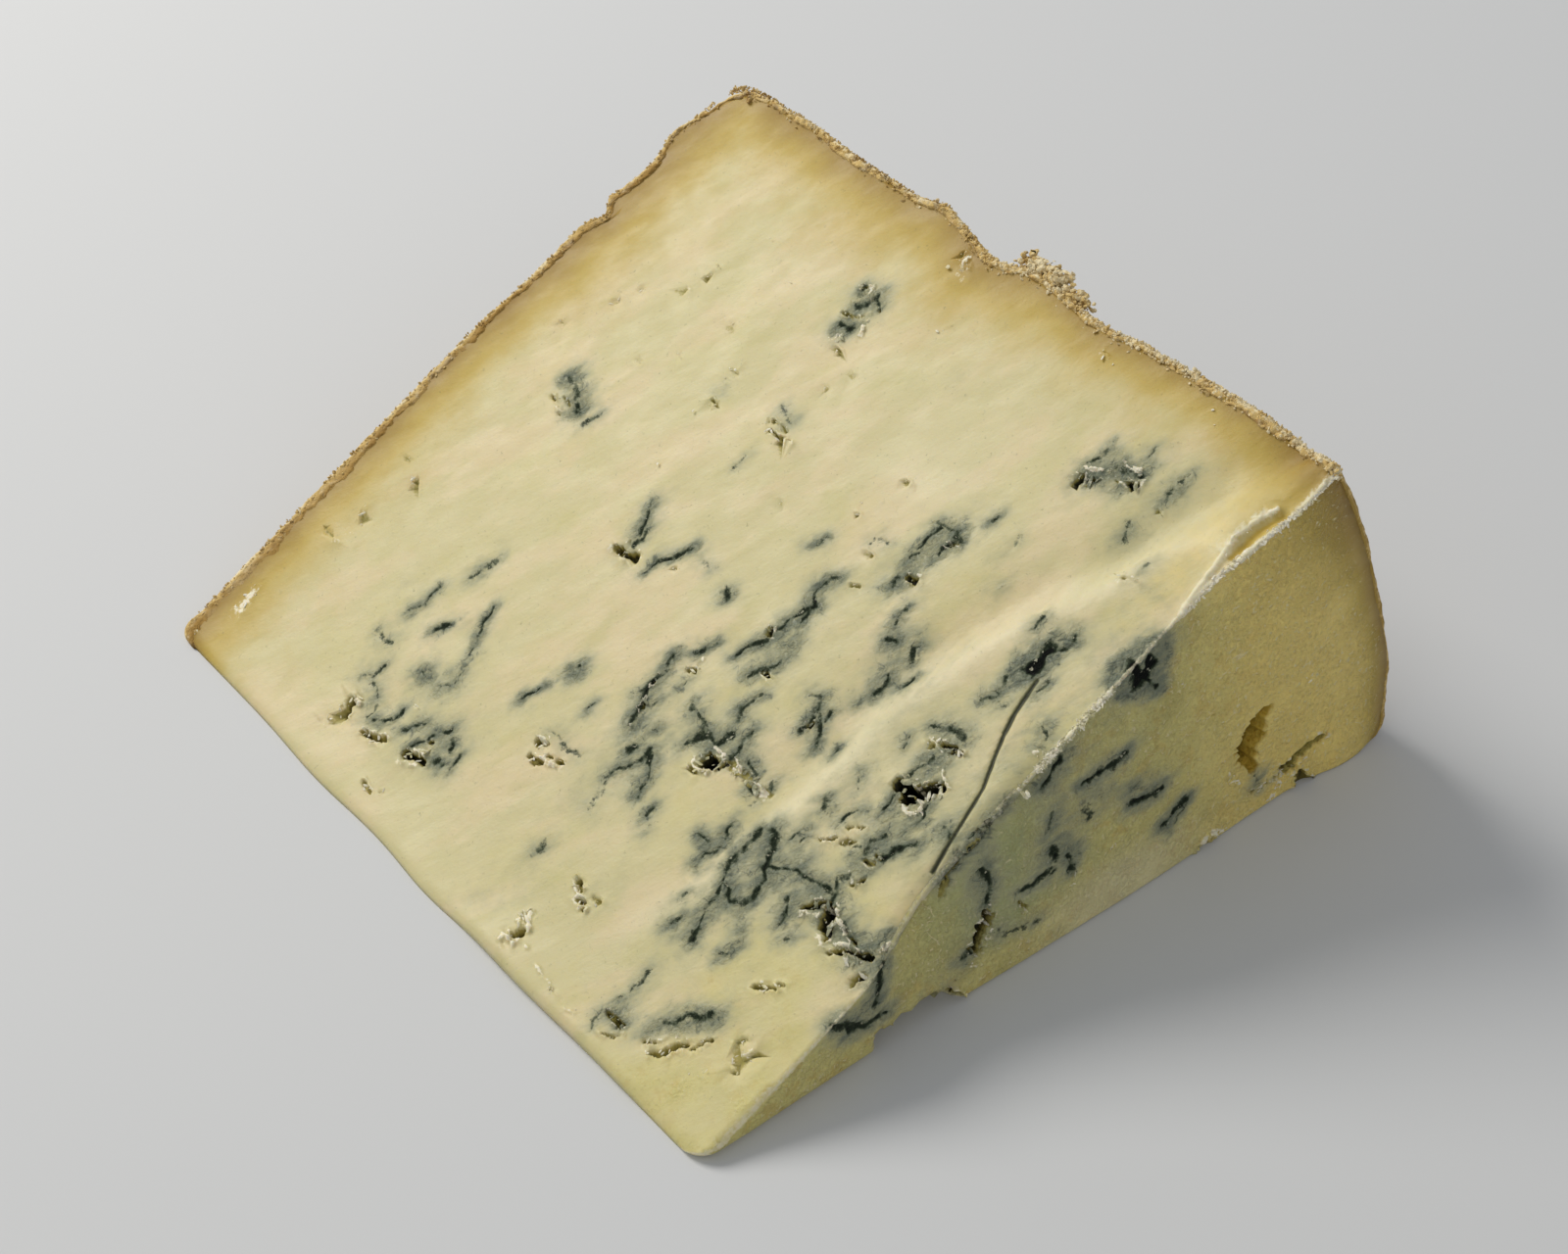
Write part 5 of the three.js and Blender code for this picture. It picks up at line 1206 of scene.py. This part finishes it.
def makeRind(material):
    bm = wedgePrism(rind["cuts"])
    for level in range(len(rind["rimRings"])):
        refine(bm, rindWanted(level))
    mesh = toMesh(bm, "natural_rind")
    base = meshPoints(mesh)
    places = prismPlaces(base)
    points = shapeWedge(base, 0)
    setPoints(mesh, points)
    normals = meshNormals(mesh)

    deep = np.maximum(places["fromRind"], 0)
    cut = smooth(deep, 0, rind["skinDepth"])
    onRind = 1 - cut
    skin = 0
    for i, (size, height) in enumerate(rind["knobs"]):
        skin = skin + height * knobs(points, size, rind["knobSeed"] + i)
    skin = np.maximum(skin, rind["lowest"]) + layered(points, rind["grain"])
    least = rind["edgeKnobs"]
    skin = skin * (least + (1 - least) * smooth(places["fromCut"], 0, rind["edgeReach"]))
    onRound = smooth(np.hypot(points[:, 0], points[:, 2]), *rind["roundFrom"])
    onRound = onRound * smooth(points[:, 1], *rind["roundTo"])
    onFan = smooth(places["fromFan"], *rind["fanFrom"]) * smooth(places["fromUpper"], *rind["belowUpper"])
    thick = wheel["rindThick"] * (rind["flatRim"] - rind["roundRimLess"] * onRound)
    thick = thick * (1 - rind["fanRimLess"] * onFan)
    innerEdge = np.maximum(thick * layered(points, rind["widthNoise"], 1), rind["thinnest"])
    sunk = smooth(deep, innerEdge, innerEdge + rind["innerSlope"])
    least = rind["flatRimNoise"]
    crumbly = layered(points, rind["rimNoise"]) * (least + (1 - least) * onRound)
    rim = (rind["rimLift"] + crumbly) * cut * (1 - sunk) * (1 - (1 - rind["fanRimLift"]) * onFan)
    lift = skin * onRind + rim
    points = shapeWedge(tucked(base, sunk * cut), 0) + normals * lift[:, None]
    points[:, 2] = np.maximum(points[:, 2], rind["clearance"])
    pale = fringeAmount(rind["fringe"], points, places, deep) * (1 - rind["fanRimLess"] * onFan)
    pale = np.maximum(pale, fringeAmount(rind["roundFringe"], points, places, deep) * onRound * (1 - onFan))
    seam = bell(deep - innerEdge, rind["seamWidth"]) * cut * (1 - onFan)
    bare = onFan * smooth(deep, *rind["bareFrom"]) + onRind * smooth(places["fromFan"], *rind["bareBeside"])
    setAmounts(mesh, {
        "stand": skin * onRind + (rind["rimStand"] + rind["crumbStand"] * crumbly) * cut,
        "fringe": pale, "seam": seam * (1 - rind["roundSeamLess"] * onRound), "bare": bare})
    addPiece(mesh, points, material)


crust = rindMaterial()
makeRind(crust)
print("rind made")


grainNoise = (1.2, 5.3, 41)      # lumps over a grain, how far apart two grains lie in the noise, its seed


# One mesh of many rough 20-sided grains, each stretched and turned by chance, with its thinnest way near
# facing. Returns the mesh and its points.
def scatter(name, middles, sizes, facing, form, draw):
    count = len(middles)
    bm = bmesh.new()
    bmesh.ops.create_icosphere(bm, subdivisions=1, radius=1)
    ball = toMesh(bm, "ball")
    bm = bmesh.new()
    for _ in range(count):
        bm.from_mesh(ball)
    mesh = toMesh(bm, name)
    bpy.data.meshes.remove(ball)
    local = meshPoints(mesh).reshape(count, -1, 3)
    lumps, apart, seed = grainNoise
    places = local * lumps + np.arange(count)[:, None, None] * apart
    rough = bumpVectors(places.reshape(-1, 3), 1, seed).reshape(local.shape)
    low, high = form["stretch"]
    stretch = sizes[:, None, None] * draw.uniform(low, high, (count, 3))[:, None]
    flat = facing + form["tilt"] * draw.normal(size=(count, 3))
    flat = flat / np.linalg.norm(flat, axis=1)[:, None]
    side = np.cross(flat, draw.normal(size=(count, 3)))
    side = side / np.linalg.norm(side, axis=1)[:, None]
    turns = np.stack((side, np.cross(flat, side), flat), axis=1)
    local = (local + form["roughness"] * rough) * stretch
    return mesh, (local @ turns + middles[:, None]).reshape(-1, 3)


crumbs = {
    "seed": 12,
    # along each rim: how many, between which places, how far in they spread, their heights and their sizes
    "roundRim": (3400, (-53, 52), 0.55, (-0.35, 0.25), (0.09, 0.25)),
    "flatRim": (1300, (2, 95), 0.5, (-0.35, 0.2), (0.1, 0.24)),
    "outBy": 0.12, "finer": 0.8, "finerFrom": 4,
    # clusters: middle along the wheel's axis, distance from the axis, half spread of each, how many, size
    "clusters": [
        (-3.6, 99.9, 1.5, 0.9, 170, 0.46), (-6.6, 100, 1.5, 1, 200, 0.46), (-11, 99.2, 2, 0.7, 130, 0.4),
        (13.3, 99.5, 0.9, 0.5, 50, 0.36), (48.3, 98.2, 1.1, 0.7, 70, 0.36),
        (-30.9, 99.1, 0.7, 0.4, 34, 0.34), (-46, 99.2, 0.9, 0.4, 34, 0.34),
        (-51.4, 98.6, 1.2, 0.5, 50, 0.34),
    ],
    "clusterSpread": 0.6, "clusterHeights": (-1.6, 0.4), "clusterSizes": (0.3, 1.15),
    "roughness": 0.5,        # how far a crumb's points are pushed about, against its size
    "stretch": ((0.6, 0.6, 0.4), (1.7, 1.2, 1.0)),   # least and most, along each of its own three ways
    "tilt": 1.2,
    "stand": ([(1.4, 0.35, 43)], 0.35),
    "pale": ([(2.2, 0.8, 44)], 0.5), "paler": 0.45, "palerBefore": (8, -2),
}


# Places of the crumbs, as columns: distance from the wheel's axis, place along it, height over the cut and
# size.
def crumbSpots(draw):
    count, places, spread, heights, sizes = crumbs["roundRim"]
    y = draw.uniform(*places, count)
    rim = roundRadius(y, np.full(count, wheel["turn"]))
    size = np.where(y < crumbs["finerFrom"], 1, crumbs["finer"]) * draw.uniform(*sizes, count)
    inward = np.abs(draw.normal(0, spread, count)) - crumbs["outBy"]
    spots = [np.column_stack((rim - inward, y, draw.uniform(*heights, count), size))]
    count, places, spread, heights, sizes = crumbs["flatRim"]
    u = draw.uniform(*places, count)
    y = flatPlace(u * outward[0], u * outward[2]) - np.abs(draw.normal(0, spread, count))
    spots.append(np.column_stack((u, y, draw.uniform(*heights, count), draw.uniform(*sizes, count))))
    for y, u, spreadY, spreadU, count, size in crumbs["clusters"]:
        off = draw.normal(0, crumbs["clusterSpread"], (count, 2)) * (spreadU, spreadY)
        height = draw.uniform(*crumbs["clusterHeights"], count)
        sizes = size * draw.uniform(*crumbs["clusterSizes"], count)
        spots.append(np.column_stack((u + off[:, 0], y + off[:, 1], height, sizes)))
    return np.vstack(spots)


def makeCrumbs(material):
    draw = np.random.default_rng(crumbs["seed"])
    spots = crumbSpots(draw)
    middles = onUpper(spots[:, 0], spots[:, 1]) + spots[:, 2, None] * upward
    mesh, points = scatter("rind_crumbs", middles, spots[:, 3], upward, crumbs, draw)
    pale = layered(points, *crumbs["pale"]) + crumbs["paler"] * smooth(points[:, 1], *crumbs["palerBefore"])
    stand = layered(points, *crumbs["stand"])
    setAmounts(mesh, {"stand": stand, "fringe": pale, "seam": 0 * pale, "bare": 0 * pale})
    addPiece(mesh, points, material, rounded=False)


makeCrumbs(crust)
print("crumbs made")


# Thin white flakes of torn paste round the pits, the torn strokes and the ridge.
flakes = {
    "seed": 5,
    "perMillimetre": 1.3,
    "off": (0.4, 1.7), "leastOff": 0.3,   # how far from the stroke's middle, in its half widths
    "above": 0.12,
    "widths": (0.25, 0.5), "sizes": (0.2, 0.9),
    "lipWidth": 0.4,
    "ridge": {
        "count": 1300, "sizes": (0.08, 0.26), "stretches": ((54, 66), (76, 98)), "spread": 0.25,
        "slant": (0, 1, -0.3), "low": 0.35, "above": 0.05, "facing": 0.6,
    },
    "roughness": 0.45,
    "stretch": ((0.9, 0.35, 0.15), (2.0, 0.8, 0.32)),
    "tilt": 0.4,
    "torn": 0.65, "mould": 0.45, "noise": [(1.5, 0.5, 51)],
}


# Places and sizes of the flakes round the strokes of one face.
def flakeSpots(strokes, onFace, away, draw):
    middles, sizes = [], []
    least, grown = flakes["sizes"]
    for width, _, places in strokes:
        path = np.array(places, float)
        steps = np.linalg.norm(np.diff(path, axis=0), axis=1)
        count = int(flakes["perMillimetre"] * (steps.sum() + 2 * width)) + 1
        gone = np.concatenate(([0], steps.cumsum()))
        along = draw.uniform(0, gone[-1], count)
        turn = draw.uniform(0, 2 * math.pi, count)
        off = max(width, flakes["leastOff"]) * draw.uniform(*flakes["off"], count)
        first = np.interp(along, gone, path[:, 0]) + off * np.cos(turn)
        second = np.interp(along, gone, path[:, 1]) + off * np.sin(turn)
        middles.append(onFace(first, second) + draw.uniform(0, flakes["above"], (count, 1)) * away)
        sizes.append(np.clip(width, *flakes["widths"]) * (least + grown * draw.random(count) ** 2))
    return np.vstack(middles), np.concatenate(sizes)


def makeFlakes(material):
    draw = np.random.default_rng(flakes["seed"])
    out = np.array([0, -1, 0])
    lipStroke = (flakes["lipWidth"], 1, ridgeLip[2])
    upper, upperSizes = flakeSpots(upperPits + upperTorn + [lipStroke], onUpper, upward, draw)
    fan, fanSizes = flakeSpots(fanTorn, onFan, out, draw)
    form = flakes["ridge"]
    count = form["count"]
    inner, outer = form["stretches"]
    u = np.concatenate((draw.uniform(*inner, count // 2), draw.uniform(*outer, count - count // 2)))
    x, z = u * outward[0], u * outward[2]
    ridge = onFan(x, z) + draw.normal(0, form["spread"], (count, 1)) * np.array(form["slant"])
    ridge = np.where(draw.random((count, 1)) < form["low"], ridge, ridge + form["above"] * upward)
    middles = np.vstack((upper - wander(upper), fan - wander(fan), ridge))
    sizes = np.concatenate((upperSizes, fanSizes, draw.uniform(*form["sizes"], count)))
    facing = np.vstack((upward + 0 * upper, out + 0 * fan, upward + form["facing"] * out + 0 * ridge))
    mesh, points = scatter("torn_flakes", middles, sizes, facing, flakes, draw)
    points[:, 2] = np.maximum(points[:, 2], 0)
    mould = np.repeat(markAmounts(middles)["cloud"], len(points) // len(middles))
    white = layered(points, flakes["noise"], flakes["torn"] - flakes["mould"] * mould)
    setAmounts(mesh, {"torn": white, "cloud": mould})
    addPiece(mesh, points, material, rounded=False)


makeFlakes(pasteSkin)
print("flakes made")


studio = {
    "floorSize": 3, "floor": "#cfd1d4", "floorRoughness": 0.8, "room": "#e9edf2", "roomStrength": 0.42,
    # each light: name, the way it lies in, how far off, how wide, power, colour
    "lights": [
        ("window", (-0.14, 0.69, 0.71), 0.9, 0.5, 6.2, "#fffaf0"),
        ("fill", (-0.25, -0.85, 0.6), 1.2, 0.9, 1.6, "#fff6e6"),
    ],
}
view = {
    "azimuth": -35.2, "elevation": 41.62, "roll": -3.91, "distance": 342.0, "lookAt": (48.15, -6.6, 15.0),
    "focalPixels": 3020.0, "imageWidth": 1600, "sensorWidth": 36, "clipStart": 0.01,
}


def areaLight(name, towards, distance, size, power, colour):
    data = bpy.data.lights.new(name, "AREA")
    data.shape = "DISK"
    data.size = size
    data.energy = power
    data.color = linear(colour)[:3]
    light = bpy.data.objects.new(name, data)
    way = Vector(towards).normalized()
    light.location = way * distance
    light.rotation_mode = "QUATERNION"
    light.rotation_quaternion = way.to_track_quat("Z", "Y")
    bpy.context.scene.collection.objects.link(light)


def makeStudio():
    bm = bmesh.new()
    bmesh.ops.create_grid(bm, x_segments=1, y_segments=1, size=studio["floorSize"])
    mesh = bpy.data.meshes.new("floor")
    bm.to_mesh(mesh)
    bm.free()
    floor = bpy.data.objects.new("floor", mesh)
    bpy.context.scene.collection.objects.link(floor)
    material, tree = newMaterial("pale matte table")
    values = {"Base Color": studio["floor"], "Roughness": studio["floorRoughness"]}
    shader = addNode(tree, "ShaderNodeBsdfPrincipled", {}, values)
    addNode(tree, "ShaderNodeOutputMaterial", {}, {"Surface": shader.outputs[0]})
    mesh.materials.append(material)
    world = bpy.data.worlds.new("pale room")
    world.use_nodes = True
    background = world.node_tree.nodes["Background"].inputs
    background["Color"].default_value = linear(studio["room"])
    background["Strength"].default_value = studio["roomStrength"]
    bpy.context.scene.world = world
    bpy.context.scene.view_settings.view_transform = "Standard"
    for light in studio["lights"]:
        areaLight(*light)


def makeCamera():
    a, e, roll = (math.radians(view[k]) for k in ("azimuth", "elevation", "roll"))
    back = Vector((math.sin(a) * math.cos(e), -math.cos(a) * math.cos(e), math.sin(e)))
    right = Vector((0, 0, 1)).cross(back).normalized()
    top = back.cross(right)
    turned = (math.cos(roll) * right + math.sin(roll) * top, math.cos(roll) * top - math.sin(roll) * right)
    data = bpy.data.cameras.new("camera")
    data.sensor_fit = "HORIZONTAL"
    data.sensor_width = view["sensorWidth"]
    data.lens = view["focalPixels"] * data.sensor_width / view["imageWidth"]
    data.clip_start = view["clipStart"]
    camera = bpy.data.objects.new("camera", data)
    aim = (Vector(view["lookAt"]) + Vector(axisPlace) + back * view["distance"]) * 0.001
    turn = Matrix((turned[0], turned[1], back)).transposed().to_4x4()
    camera.matrix_world = Matrix.Translation(aim) @ turn
    bpy.context.scene.collection.objects.link(camera)
    bpy.context.scene.camera = camera


makeStudio()
makeCamera()
print("studio made")
